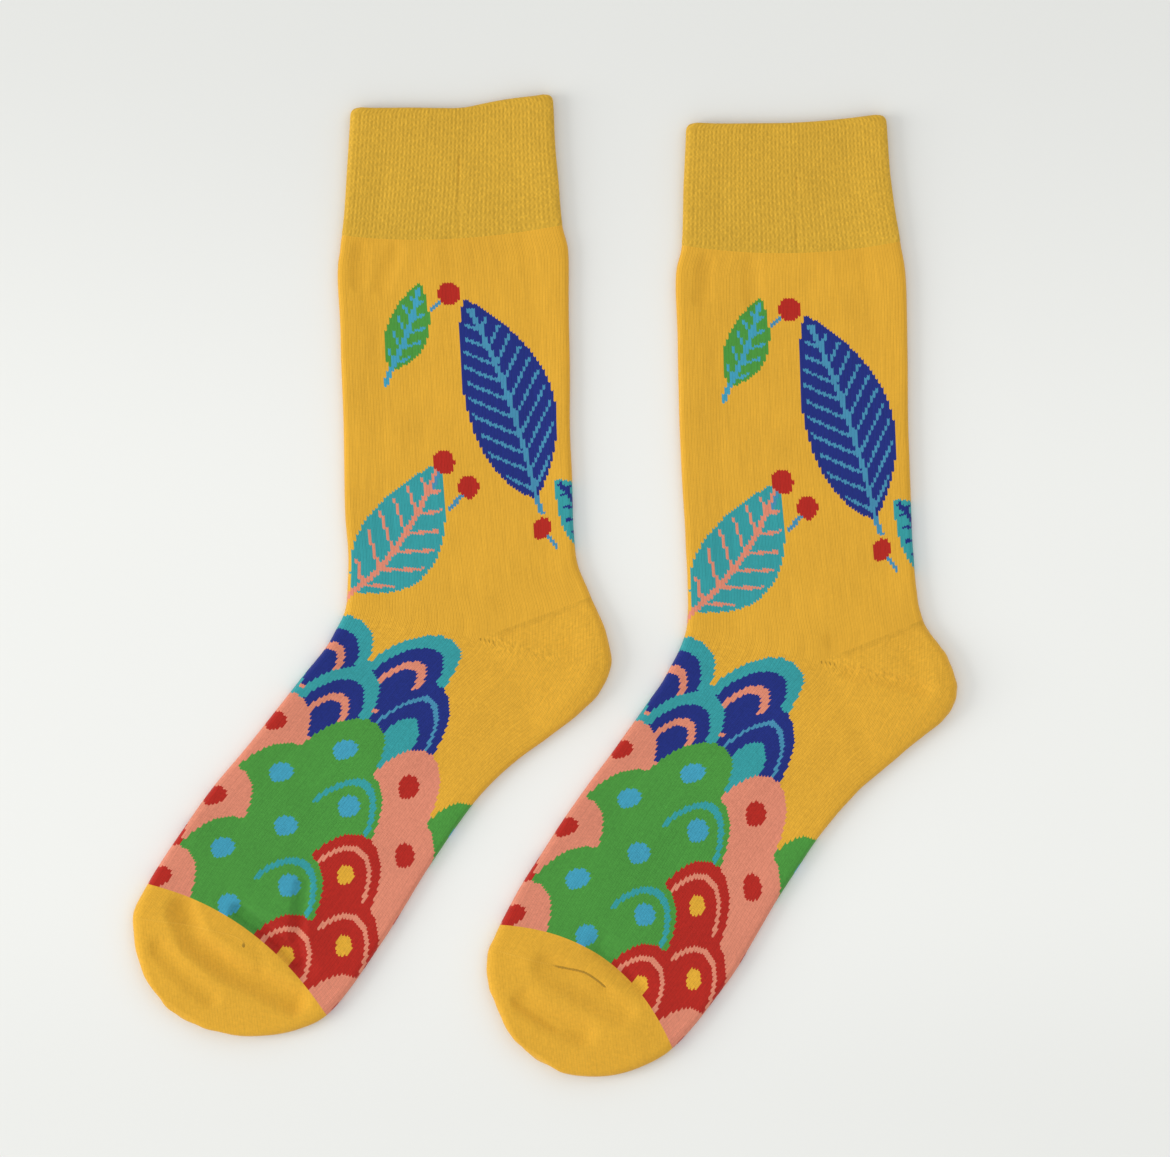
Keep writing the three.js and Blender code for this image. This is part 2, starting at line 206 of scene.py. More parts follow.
LEFT = SockPattern(
    name="left",
    seed=11,
    cuff=(
        Course((-76.0, 187.0), (-36.0, 187.0), (3.0, 192.5), 5.0, 4.4),
        Course((-77.5, 162.0), (-37.0, 161.0), (4.5, 164.5), 5.0, 4.2),
        Course((-79.5, 137.0), (-38.5, 135.5), (7.0, 141.0), 4.8, 4.0),
    ),
    leg=(
        Course((-81.0, 127.0), (-37.5, 126.0), (9.0, 130.0), 4.6, 3.6),
        Course((-80.0, 96.0), (-35.5, 95.0), (9.5, 97.5), 4.4, 3.4),
        Course((-79.0, 61.0), (-33.5, 58.5), (10.0, 63.0), 4.4, 3.4),
        Course((-78.0, 25.5), (-30.5, 21.5), (11.0, 29.5), 4.4, 3.6, 0.1),
        Course((-77.0, 4.0), (-28.0, -2.0), (12.5, 10.0), 4.6, 3.8, 0.4),
        Course((-78.5, -10.0), (-26.0, -21.0), (18.0, -4.5), 4.8, 4.2, 1.0),
    ),
    heel_back=((22, -13.5), (25, -22.5), (26, -29.5), (24, -37.5), (19.5, -44.5), (12, -51.5), (1, -60)),
    heel_tip=(26.0, -29.5),
    foot=(
        Course((-84.0, -21.5), (-36.0, -32.0), (-10.0, -68.0), 4.8, 4.0, 0.8),
        Course((-97.0, -38.5), (-54.0, -52.0), (-25.5, -82.5), 4.8, 3.8, 0.5),
        Course((-117.5, -64.0), (-77.5, -82.5), (-46.0, -111.5), 4.6, 3.6, 0.1),
        Course((-138.0, -90.0), (-97.5, -108.5), (-64.5, -141.0), 4.8, 4.0),
        Course((-155.5, -117.0), (-116.5, -135.0), (-85.5, -168.5), 5.4, 5.4),
    ),
    toe=(
        Course((-161.0, -128.0), (-122.5, -145.0), (-96.5, -174.0), 6.0, 6.6),
        Course((-160.5, -141.0), (-130.0, -155.5), (-108.5, -176.5), 6.2, 6.6),
        Course((-157.5, -152.0), (-136.0, -164.0), (-120.5, -176.5), 6.2, 6.4),
        Course((-152.5, -160.0), (-140.0, -168.0), (-130.5, -174.5), 6.0, 6.0),
        Course((-148.0, -165.5), (-142.5, -169.0), (-137.5, -172.0), 4.4, 4.4),
        Course((-143.2, -169.4), (-142.8, -169.7), (-142.4, -170.0), 0.8, 0.8),
    ),
    folds=(
        Fold("beside the toe pocket", 1.3, 3.2, ((-119, -127.5), (-103, -139), (-94, -150))),
        Fold("along the foot", 1.9, 2.2, ((-95, -118), (-96.5, -132), (-97.5, -146))),
        Fold("valley of the toe", 3.3, 3.8,
             ((-142, -127.5), (-137, -139.5), (-124.5, -149), (-107, -158), (-98, -163))),
        Fold("gather under the cuff, front", 0.9, 2.6, ((-72.5, 131), (-73, 119))),
        Fold("gather under the cuff, middle", 0.8, 2.6, ((-58.5, 131), (-63.5, 117.5))),
        Fold("swell of the heel", -1.2, 14.0, ((2, -26), (10, -36))),
    ),
    creases=(
        Fold("tuck at the toe line", 2.6, 1.9,
             ((-120.5, -127.8), (-110.8, -134.8), (-103, -141.2), (-97.2, -147.5))),
        Fold("second valley of the toe", 1.5, 3.0, ((-151, -142), (-142.5, -151.5), (-131, -161))),
        Fold("ridge beside the toe seam", -0.45, 2.6, ((-139, -135), (-126, -141), (-116, -150))),
        Fold("dimple by the toe seam", 0.35, 2.0, ((-113, -142), (-110, -150))),
        Fold("slack in front of the ankle", 0.35, 4.0, ((-74, 8), (-58, -6))),
        Fold("slack over the instep", 0.3, 4.5, ((-80, -26), (-62, -36), (-50, -40))),
        Fold("drag line above the heel", 0.45, 3.0, ((-17, -6.5), (0, -8.5), (15, -9))),
        Fold("trough of the heel", 0.55, 2.0, ((-14, -19.5), (0, -21), (10, -22.5))),
        Fold("drag line below the heel", 0.3, 3.2, ((-20, -27), (-8, -40), (-4, -56))),
        Fold("soft ridge of the heel", -0.3, 3.0, ((-16, -27), (0, -30), (16, -32))),
        Fold("wave of the leg, upper", 0.2, 6.0, ((-30, 112), (-24, 84), (-30, 60))),
        Fold("wave of the leg, back", 0.22, 5.0, ((-4, 104), (-2, 70), (-6, 42))),
        Fold("wave of the leg, front", -0.2, 6.0, ((-62, 92), (-60, 60), (-64, 34))),
        Fold("gather under the cuff, back", 0.3, 3.0, ((-8, 138), (-6, 124))),
        Fold("gather under the cuff, centre", 0.3, 2.8, ((-37, 134), (-37, 92))),
        Fold("wave of the foot", 0.28, 5.5, ((-64, -66), (-84, -92), (-92, -108))),
        Fold("wave of the sole", -0.25, 5.0, ((-34, -78), (-58, -104), (-74, -126))),
        Fold("line down the cuff", 0.3, 0.5, ((-33.6, 168), (-33.9, 137))),
        Fold("bow of the cuff", -0.25, 9.0, ((-60, 176), (-60, 146))),
        Fold("hollow of the cuff", 0.2, 7.0, ((-22, 180), (-20, 146))),
    ),
    under_creases=(
        Fold("hollow under the leg", 0.5, 6.0, ((-46, 110), (-52, 70), (-48, 30))),
        Fold("hollow under the back of the leg", 0.4, 4.5, ((-12, 120), (-14, 84))),
        Fold("hollow under the instep", 0.55, 5.0, ((-66, -8), (-50, -34), (-62, -56))),
        Fold("hollow under the heel", 0.5, 5.0, ((-14, -20), (6, -30))),
        Fold("hollow under the foot", 0.5, 5.5, ((-84, -74), (-100, -100), (-112, -122))),
        Fold("hollow under the toe", 0.7, 4.5, ((-142, -132), (-132, -148), (-116, -158))),
        Fold("gather under the welt", 0.4, 3.0, ((-58, 134), (-60, 118))),
    ),
    mouth=(Swell(0.25, 0.26, 0.6), Swell(0.55, 0.12, -0.25), Swell(0.8, 0.24, 0.9)),
    toe_seam=((-161.0, -130.2), (-152.5, -131.4), (-144.0, -132.6), (-135.0, -134.2), (-126.8, -136.2),
              (-120.6, -137.9), (-118.2, -139.6), (-118.0, -142.0)),
    seam_drawn_in=40.0,
)

RIGHT = SockPattern(
    name="right",
    seed=29,
    cuff=(
        Course((55.5, 181.0), (95.0, 181.0), (133.5, 184.5), 5.0, 4.4),
        Course((54.5, 158.0), (95.5, 157.5), (135.5, 159.0), 5.0, 4.2),
        Course((53.5, 133.0), (97.0, 130.0), (139.0, 134.5), 4.8, 4.0),
    ),
    leg=(
        Course((51.5, 122.5), (96.5, 120.5), (141.0, 124.5), 4.6, 3.6),
        Course((52.0, 94.0), (97.5, 91.5), (142.0, 94.0), 4.4, 3.4),
        Course((53.0, 57.0), (99.0, 53.0), (142.5, 57.5), 4.4, 3.4),
        Course((55.0, 18.5), (102.5, 13.0), (144.0, 21.5), 4.4, 3.6, 0.1),
        Course((56.0, -4.5), (105.5, -11.0), (145.5, -1.5), 4.6, 3.8, 0.4),
        Course((55.0, -18.5), (107.5, -30.0), (148.0, -13.5), 4.8, 4.2, 1.0),
    ),
    heel_back=((152.5, -21), (157.5, -28), (161, -37), (161, -44.5), (157, -52), (148.5, -59), (134, -71)),
    heel_tip=(161.5, -41.0),
    foot=(
        Course((48.5, -33.5), (96.0, -44.5), (121.5, -82.0), 4.8, 4.0, 0.8),
        Course((37.5, -50.0), (81.5, -62.0), (109.0, -96.5), 4.8, 3.8, 0.5),
        Course((19.0, -75.5), (59.5, -91.0), (90.0, -125.0), 4.6, 3.6, 0.1),
        Course((0.5, -102.0), (42.0, -119.0), (72.0, -155.0), 4.8, 4.0),
        Course((-17.5, -133.0), (23.5, -146.5), (50.0, -181.5), 5.4, 5.2),
    ),
    toe=(
        Course((-22.5, -145.0), (16.5, -158.0), (39.5, -188.0), 6.0, 6.4),
        Course((-22.0, -157.0), (9.5, -170.0), (27.0, -192.0), 6.2, 6.4),
        Course((-18.5, -166.5), (2.5, -178.5), (16.0, -192.5), 6.2, 6.2),
        Course((-13.0, -177.0), (-1.5, -184.5), (6.5, -191.0), 6.0, 5.8),
        Course((-7.5, -182.5), (-2.5, -185.5), (2.0, -188.5), 4.4, 4.4),
        Course((-3.5, -186.0), (-3.1, -186.3), (-2.7, -186.6), 0.8, 0.8),
    ),
    folds=(
        Fold("beside the toe pocket", 1.2, 4.0, ((22, -141.5), (39, -159))),
        Fold("valley of the toe", 2.2, 3.9, ((1, -149.5), (19, -161), (30, -166.5))),
        Fold("lower valley of the toe", 1.8, 3.5, ((-8, -163), (1.5, -169.5), (15, -175.5))),
        Fold("gather under the cuff, front", 0.9, 2.6, ((63, 126), (62, 113))),
        Fold("gather under the cuff, middle", 0.8, 2.8, ((81, 126), (82, 110))),
        Fold("swell of the heel", -1.2, 14.0, ((136, -34), (144, -46))),
    ),
    creases=(
        Fold("tuck at the toe line", 0.9, 1.6, ((21.4, -143.9), (31.4, -151.3), (38.4, -158.3))),
        Fold("crease low on the toe", 0.6, 1.1, ((-11.5, -163.2), (-4.5, -168), (4, -173.5))),
        Fold("groove along the toe seam", 0.5, 0.8,
             ((3, -149.3), (15.3, -151.9), (20.5, -155.1), (24, -158))),
        Fold("ridge beside the toe seam", -0.4, 2.6, ((-6, -148), (8, -154), (18, -156))),
        Fold("dimple by the toe seam", 0.35, 2.0, ((20, -154), (25, -160))),
        Fold("slack in front of the ankle", 0.3, 4.0, ((60, -2), (74, -14))),
        Fold("slack over the instep", 0.3, 4.5, ((52, -38), (70, -48), (84, -52))),
        Fold("drag line above the heel", 0.8, 2.6, ((113, -22), (130, -21.5), (150, -20.5))),
        Fold("trough of the heel", 0.9, 2.0, ((119, -34.5), (133, -36.5), (149, -41))),
        Fold("drag line below the heel", 0.32, 3.2, ((112, -38), (122, -52), (126, -66))),
        Fold("soft ridge of the heel", -0.4, 2.4, ((118, -30.5), (135, -32.5), (156, -37))),
        Fold("wave of the leg, upper", 0.2, 6.0, ((104, 108), (108, 80), (104, 54))),
        Fold("wave of the leg, back", -0.2, 5.0, ((128, 100), (130, 68), (126, 38))),
        Fold("wave of the leg, front", 0.2, 6.0, ((72, 88), (76, 58), (70, 30))),
        Fold("gather under the cuff, back", 0.28, 3.0, ((124, 132), (126, 118))),
        Fold("gather under the cuff, centre", 0.2, 2.6, ((104, 128), (103, 116))),
        Fold("wave of the foot", 0.25, 5.5, ((72, -78), (54, -102), (44, -118))),
        Fold("wave of the sole", -0.25, 5.0, ((100, -92), (78, -116), (62, -138))),
        Fold("line down the cuff", 0.26, 0.5, ((98.5, 160), (98.8, 132))),
        Fold("bow of the cuff", -0.2, 9.0, ((74, 172), (73, 142))),
        Fold("hollow of the cuff", 0.18, 7.0, ((112, 174), (114, 140))),
    ),
    under_creases=(
        Fold("hollow under the leg", 0.5, 6.0, ((88, 104), (82, 64), (88, 26))),
        Fold("hollow under the back of the leg", 0.4, 4.5, ((122, 112), (120, 78))),
        Fold("hollow under the instep", 0.5, 5.0, ((68, -20), (84, -44), (72, -66))),
        Fold("hollow under the heel", 0.5, 5.0, ((120, -30), (138, -42))),
        Fold("hollow under the foot", 0.5, 5.5, ((52, -86), (38, -110), (26, -132))),
        Fold("hollow under the toe", 0.6, 4.5, ((-6, -150), (6, -164), (20, -172))),
        Fold("gather under the welt", 0.4, 3.0, ((74, 128), (73, 112))),
    ),
    mouth=(Swell(0.3, 0.25, 0.25),),
    toe_seam=((-18.8, -143.0), (-10.5, -145.4), (-1.5, -147.8), (7.0, -149.6), (15.3, -151.4), (20.5, -154.6),
              (24.0, -157.5)),
    seam_drawn_in=18.0,
)


class SmoothLine:
    """A smooth line through points of the plan, as a flexible curve laid on them."""

    def __init__(self, points: list[Point]) -> None:
        """Keeps the points.

        Args:
            points: the places that the line passes through, in millimetres.
        """
        given = np.array(points, dtype=float)
        first, last = 2 * given[0] - given[1], 2 * given[-1] - given[-2]
        self.points = np.vstack([first, given, last])
        self.steps = len(given) - 1

    def at(self, shares: np.ndarray) -> np.ndarray:
        """Gives places on the line.

        Args:
            shares: how far along the line, from 0 to 1 over its points.

        Returns:
            One place per share, in millimetres.
        """
        along = np.clip(shares, 0, 1) * self.steps
        low = np.minimum(along.astype(int), self.steps - 1)
        t = (along - low)[:, None]
        a, b, c, d = (self.points[low + i] for i in range(4))
        ab, bc, cd = (np.sqrt(np.linalg.norm(q - p, axis=1))[:, None] for p, q in ((a, b), (b, c), (c, d)))
        leave = ((b - a) / ab - (c - a) / (ab + bc) + (c - b) / bc) * bc
        arrive = ((c - b) / bc - (d - b) / (bc + cd) + (d - c) / cd) * bc
        return (
            b
            + leave * t
            + (3 * (c - b) - 2 * leave - arrive) * t**2
            + (2 * (b - c) + leave + arrive) * t**3
        )


@dataclass
class Courses:
    """Many courses at once, one row of each array per course."""

    front: np.ndarray
    middle: np.ndarray
    back: np.ndarray
    edge: np.ndarray
    flat: np.ndarray
    corner: np.ndarray

    def take(self, index: np.ndarray) -> "Courses":
        """Picks courses by their numbers."""
        return Courses(*(getattr(self, name)[index] for name in self.__dataclass_fields__))


def fade(x: np.ndarray) -> np.ndarray:
    """A smooth bump of height 1 at 0 that has died away at 1."""
    return np.where(np.abs(x) >= 1, 0.0, (1 - x * x) ** 2)


def smooth_step(x: np.ndarray, low: float | np.ndarray, high: float | np.ndarray) -> np.ndarray:
    """Rises smoothly from 0 at low to 1 at high."""
    t = np.clip((x - low) / (high - low), 0, 1)
    return t * t * (3 - 2 * t)


def unit(vectors: np.ndarray) -> np.ndarray:
    """Gives one or many vectors the length 1."""
    return vectors / np.linalg.norm(vectors, axis=-1, keepdims=True)


def in_frame(places: np.ndarray, origin: np.ndarray, across: np.ndarray, down: np.ndarray) -> np.ndarray:
    """Reads places of the plan in steps across and down from an origin.

    Args:
        places: the places, one per row.
        origin: where the steps are counted from.
        across: one step across.
        down: one step down.

    Returns:
        The steps across and down of each place.
    """
    return np.linalg.solve(np.column_stack([across, down]), (places - origin).T).T


def distance_to(line: tuple[Point, ...], points: np.ndarray) -> np.ndarray:
    """Measures how far points of the plan are from a line of straight stretches.

    Args:
        line: the corners of the line.
        points: the places, one per row.

    Returns:
        One distance per place.
    """
    nearest = np.full(len(points), np.inf)
    corners = np.array(line, dtype=float)
    for start, end in zip(corners[:-1], corners[1:]):
        way = end - start
        share = np.clip((points - start) @ way / (way @ way), 0, 1)[:, None]
        nearest = np.minimum(nearest, np.linalg.norm(points - start - share * way, axis=1))
    return nearest


class Waves:
    """A gentle unevenness of hand-laid cloth: a sum of plane waves from one seed."""

    def __init__(self, seed: int, shortest: float, longest: float, count: int = 14) -> None:
        """Draws the waves.

        Args:
            seed: which drawing.
            shortest: shortest wave in millimetres.
            longest: longest wave in millimetres.
            count: how many waves.
        """
        dice = np.random.default_rng(seed)
        turn = dice.uniform(0, 2 * math.pi, count)
        length = dice.uniform(shortest, longest, count)
        self.ways = np.stack([np.cos(turn), np.sin(turn)]) * (2 * math.pi / length)
        self.starts = dice.uniform(0, 2 * math.pi, count)
        self.count = count

    def at(self, points: np.ndarray) -> np.ndarray:
        """Gives the height at places of the plan, mostly between -1 and 1."""
        return np.sin(points @ self.ways + self.starts).sum(axis=1) / math.sqrt(self.count)


class SockSurface:
    """The outside and the inside of one sock's knitting, as places in space for a course and a column."""

    ROW_LENGTH = 21.0  # millimetres of a folded edge that a row stands for in its waves
    FRONT_LINE = -30.0  # which line of the waves the front fold follows
    BACK_LINE = 40.0
    FRONT_WAY = (1.0, 0.2)  # the way in which the front fold wanders
    BACK_WAY = (1.0, 0.3)

    def __init__(self, pattern: SockPattern) -> None:
        """Prepares the lines of the pattern.

        Args:
            pattern: the sock's measures.
        """
        self.pattern = pattern
        self.rows = [*pattern.cuff, *pattern.leg, *pattern.foot, *pattern.toe]
        self.last = len(self.rows) - 1
        self.cuff_end = len(pattern.cuff) - 1
        self.ankle = len(pattern.cuff) + len(pattern.leg) - 1
        self.toe_start = self.ankle + len(pattern.foot)
        self.heel_rows = len(pattern.heel_back)
        self.front = SmoothLine([row.front for row in self.rows])
        self.middle = SmoothLine([row.middle for row in self.rows])
        backs = [row.back for row in self.rows]
        backs[self.ankle + 1 : self.ankle + 1] = list(pattern.heel_back)
        self.back = SmoothLine(backs)
        self.edge_waves = Waves(pattern.seed, 9, 40)
        self.relief = Waves(pattern.seed + 1, 14, 46)
        self.under_relief = Waves(pattern.seed + 2, 16, 50)

    def between(self, key: str, at: np.ndarray) -> np.ndarray:
        """Reads a value of the table between its rows."""
        return np.interp(at, np.arange(self.last + 1), [getattr(row, key) for row in self.rows])

    def back_at(self, index: np.ndarray) -> np.ndarray:
        """Gives places on the back fold, counted in its own rows with those of the heel."""
        place = self.back.at(index / (self.last + self.heel_rows))
        return place + self.wander(index, self.BACK_LINE) * np.array(self.BACK_WAY)

    def wander(self, index: np.ndarray, line: float) -> np.ndarray:
        """Gives a small unevenness of a folded edge, which dies away at the ends of the sock.

        Args:
            index: rows of the edge.
            line: which line of the waves it follows.

        Returns:
            How far the edge moves at each row.
        """
        free = np.minimum(1, np.minimum(index, self.last + self.heel_rows - index) / 2)
        along = np.stack([index * self.ROW_LENGTH, np.full(len(index), line)], axis=1)
        return (EDGE_WAVE * free * self.edge_waves.at(along))[:, None]

    def even_rows(self, start: float, end: float, shares: np.ndarray, past: bool) -> np.ndarray:
        """Spaces courses evenly along the cloth.

        Args:
            start: first row of the piece.
            end: last row of the piece.
            shares: how far down the piece each course lies, from 0 to 1.
            past: whether they lie below the heel pocket.

        Returns:
            The rows of the pattern at which the courses lie.
        """
        fine = np.linspace(start, end, 241)
        courses = self.tube(fine, past)
        lines = (courses.front, courses.middle, courses.back)
        steps = sum(np.linalg.norm(np.diff(line, axis=0), axis=1) for line in lines)
        run = np.concatenate([[0.0], np.cumsum(steps)])
        return np.interp(np.asarray(shares) * run[-1], run, fine)

    def tube(self, at: np.ndarray, past: bool) -> Courses:
        """Makes courses of the tube.

        Args:
            at: rows counted from the mouth of the cuff.
            past: whether they lie below the heel pocket.

        Returns:
            The courses.
        """
        front = self.front.at(at / self.last) + self.wander(at, self.FRONT_LINE) * np.array(self.FRONT_WAY)
        index = at + self.heel_rows if past else at
        return Courses(
            front,
            self.middle.at(at / self.last),
            self.back_at(index),
            self.between("edge", at),
            self.between("flat", at),
            self.between("corner", at),
        )

    def heel(self, shares: np.ndarray) -> Courses:
        """Makes courses of the heel pocket, which fan out from one point.

        Args:
            shares: from 0 at the leg to 1 at the foot.

        Returns:
            The courses.
        """
        ankle = self.tube(np.full(len(shares), float(self.ankle)), False)
        ankle.back = self.back_at(self.ankle + shares * self.heel_rows)
        ankle.edge = ankle.edge + HEEL_SWELL * np.sin(math.pi * shares)
        return ankle

    def bends(self, c: Courses) -> tuple[np.ndarray, np.ndarray]:
        """Gives the two points that the halves of each course bend towards.

        Args:
            c: the courses.

        Returns:
            The points of the front halves and those of the back halves.
        """
        corner = c.corner[:, None]
        through = (c.back - c.front) / 4
        to_tip = (np.array(self.pattern.heel_tip) - c.front) / 4
        straight = (c.back - c.middle) / 2
        front_bend = c.middle - (through + (to_tip - through) * corner)
        back_bend = c.middle + (through + (straight - through) * corner)
        return front_bend, back_bend

    def plan(self, c: Courses, share: np.ndarray) -> np.ndarray:
        """Gives one place of the plan on each course.

        Args:
            c: the courses.
            share: how far along its course each place lies.

        Returns:
            The places.
        """
        front_bend, back_bend = self.bends(c)
        first = (share <= 0.5)[:, None]
        t = np.where(share <= 0.5, 2 * share, 2 * share - 1)[:, None]
        start = np.where(first, c.front, c.middle)
        bend = np.where(first, front_bend, back_bend)
        end = np.where(first, c.middle, c.back)
        return (1 - t) ** 2 * start + 2 * t * (1 - t) * bend + t**2 * end

    def widths(self, c: Courses) -> np.ndarray:
        """Measures each course along its two arcs.

        Args:
            c: the courses.

        Returns:
            Their lengths.
        """
        count = 48
        places = [self.plan(c, np.full(len(c.edge), i / count)) for i in range(count + 1)]
        return sum(np.linalg.norm(q - p, axis=1) for p, q in zip(places[:-1], places[1:]))

    def with_folds(self, level: np.ndarray, folds: tuple[Fold, ...], point: np.ndarray) -> np.ndarray:
        """Adds the depths of folds to a level at places of the plan."""
        depths = (fold.depth * fade(distance_to(fold.along, point) / (2 * fold.width)) for fold in folds)
        return sum(depths, level)

    def upper_height(self, c: Courses, from_edge: np.ndarray, point: np.ndarray) -> np.ndarray:
        """Gives the height of the upper side: thicker at its folded edges, pressed or swollen by the folds.

        Args:
            c: the course of each point.
            from_edge: how far each point is from its nearer folded edge.
            point: the places of the plan.

        Returns:
            The heights above the floor.
        """
        lift = (c.edge - c.flat) * fade(np.maximum(0, from_edge - c.edge / 2) / EDGE_FALL)
        free = smooth_step(from_edge, c.edge / 2, c.edge / 2 + SHOULDER)
        folds = (*self.pattern.folds, *self.pattern.creases)
        pressed = self.with_folds(RELIEF * self.relief.at(point), folds, point)
        least = np.minimum(2 * GAUGE.wall + LEAST_HOLLOW, c.flat)
        return np.maximum(c.flat + lift - free * pressed, least)

    def under_height(self, c: Courses, from_edge: np.ndarray, point: np.ndarray) -> np.ndarray:
        """Gives the height of the underside, which rests on the floor between shallow hollows.

        Args:
            c: the course of each point.
            from_edge: how far each point is from its nearer folded edge.
            point: the places of the plan.

        Returns:
            The heights above the floor.
        """
        free = smooth_step(from_edge, c.edge / 2, c.edge / 2 + SHOULDER)
        level = UNDER_RELIEF + UNDER_RELIEF * self.under_relief.at(point)
        return np.maximum(0, free * self.with_folds(level, self.pattern.under_creases, point))

    def points(self, c: Courses, width: np.ndarray, zone: np.ndarray, share: np.ndarray, inset: np.ndarray,
               proud: np.ndarray) -> np.ndarray:
        """Gives the places of a loop in space.

        Args:
            c: the course of each point.
            width: that course's width.
            zone: which stretch of the loop each point is on.
            share: how far along that stretch it is.
            inset: 0 on the outside, and the wall's thickness on the inside.
            proud: how far a rib raises the point out of the cloth.

        Returns:
            One place per point, in millimetres.
        """
        reach = np.maximum(np.minimum(c.edge / 2, WIDEST_FOLD * width) - inset, LEAST_FOLD)
        half = np.maximum(c.edge / 2 - inset, LEAST_FOLD)
        inner = width - 2 * (inset + reach)
        turn = math.pi * (share - 0.5)
        side = [zone == z.value for z in Zone]
        from_front = np.select(side, [
            inset + reach + inner * share,
            width - inset - reach + (reach + proud) * np.cos(turn),
            width - inset - reach - inner * share,
            inset + reach - (reach + proud) * np.cos(turn),
        ])
        plan = self.plan(c, np.clip(from_front / width, 0, 1))
        beyond = from_front - np.clip(from_front, 0, width)
        plan = plan + beyond[:, None] * unit(c.back - c.front)
        from_edge = np.minimum(from_front, width - from_front)
        upper = self.upper_height(c, from_edge, plan)
        under = self.under_height(c, from_edge, plan) + np.where(proud > 0, GAUGE.rib_height - proud, 0)
        height = np.select(side, [
            upper - inset + proud,
            c.edge / 2 - (half + proud) * np.sin(turn),
            np.minimum(under + inset, upper - inset - LEAST_SLIT),
            c.edge / 2 + (half + proud) * np.sin(turn),
        ])
        return np.column_stack([plan, np.maximum(height, 0)])


def loop_places(columns: np.ndarray, side: int, fold: int) -> tuple[np.ndarray, np.ndarray]:
    """Splits columns of a loop into its four stretches.

    Args:
        columns: numbers of columns, from 0 to all of them.
        side: columns on each side.
        fold: columns round each folded edge.

    Returns:
        The stretch of each column and how far along it lies.
    """
    starts = np.array([0, side, side + fold, 2 * side + fold])
    sizes = np.array([side, fold, side, fold])
    zone = np.clip(np.searchsorted(starts, columns, side="right") - 1, 0, 3)
    return zone, (columns - starts[zone]) / sizes[zone]


@dataclass
class Grid:
    """A flat grid of a piece before it is laid on its form, read into arrays."""

    mesh: bpy.types.Mesh
    column: np.ndarray  # column of each point
    row: np.ndarray  # row of each point
    corner_vertex: np.ndarray  # point of each face corner
    corner_row: np.ndarray  # first row of each corner's face

    @classmethod
    def make(cls, name: str, columns: int, rows: int) -> "Grid":
        """Makes a grid with one face per column and row.

        Args:
            name: name of its mesh.
            columns: faces across.
            rows: faces down.

        Returns:
            The grid.
        """
        bm = bmesh.new()
        bm.loops.layers.uv.new("stitches")
        bmesh.ops.create_grid(bm, x_segments=columns, y_segments=rows, size=1.0, calc_uvs=True)
        mesh = bpy.data.meshes.new(name)
        bm.to_mesh(mesh)
        bm.free()
        places = np.empty(len(mesh.vertices) * 3)
        mesh.vertices.foreach_get("co", places)
        places = places.reshape(-1, 3)
        low, high = places.min(axis=0), places.max(axis=0)
        column = np.rint((places[:, 0] - low[0]) / (high[0] - low[0]) * columns).astype(int)
        row = np.rint((places[:, 1] - low[1]) / (high[1] - low[1]) * rows).astype(int)
        corner_vertex = np.empty(len(mesh.loops), dtype=int)
        mesh.loops.foreach_get("vertex_index", corner_vertex)
        first_row = row[corner_vertex.reshape(-1, 4)].min(axis=1)
        return cls(mesh, column, row, corner_vertex, np.repeat(first_row, 4))

    def lay(self, places: np.ndarray) -> None:
        """Moves the grid's points to places in millimetres."""
        self.mesh.vertices.foreach_set("co", (places * MM).ravel())

    def write_uv(self, name: str, values: np.ndarray) -> None:
        """Fills a UV map, which is made if it isn't there yet."""
        layer = self.mesh.uv_layers.get(name) or self.mesh.uv_layers.new(name=name)
        layer.data.foreach_set("uv", values.astype(np.float32).ravel())


def put_in_scene(thing: bpy.types.Object) -> None:
    """Links an object to the scene."""
    bpy.context.scene.collection.objects.link(thing)


def close_and_place(grid: Grid, name: str) -> bpy.types.Object:
    """Joins the edges that meet, turns the faces outwards and puts the piece in the scene.

    Args:
        grid: the grid, laid on its form.
        name: name of the piece.

    Returns:
        The piece.
    """
    bm = bmesh.new()
    bm.from_mesh(grid.mesh)
    bmesh.ops.remove_doubles(bm, verts=bm.verts[:], dist=1e-6)
    bmesh.ops.dissolve_degenerate(bm, edges=bm.edges[:], dist=1e-7)
    loose = [edge for edge in bm.edges if not edge.link_faces]
    bmesh.ops.delete(bm, geom=loose, context="EDGES")
    bmesh.ops.recalc_face_normals(bm, faces=bm.faces[:])
    for face in bm.faces:
        face.smooth = True
    bm.to_mesh(grid.mesh)
    bm.free()
    grid.mesh.set_sharp_from_angle(angle=math.radians(SHARP_EDGE))
    grid.mesh.name = name
    piece = bpy.data.objects.new(name, grid.mesh)
    put_in_scene(piece)
    return piece


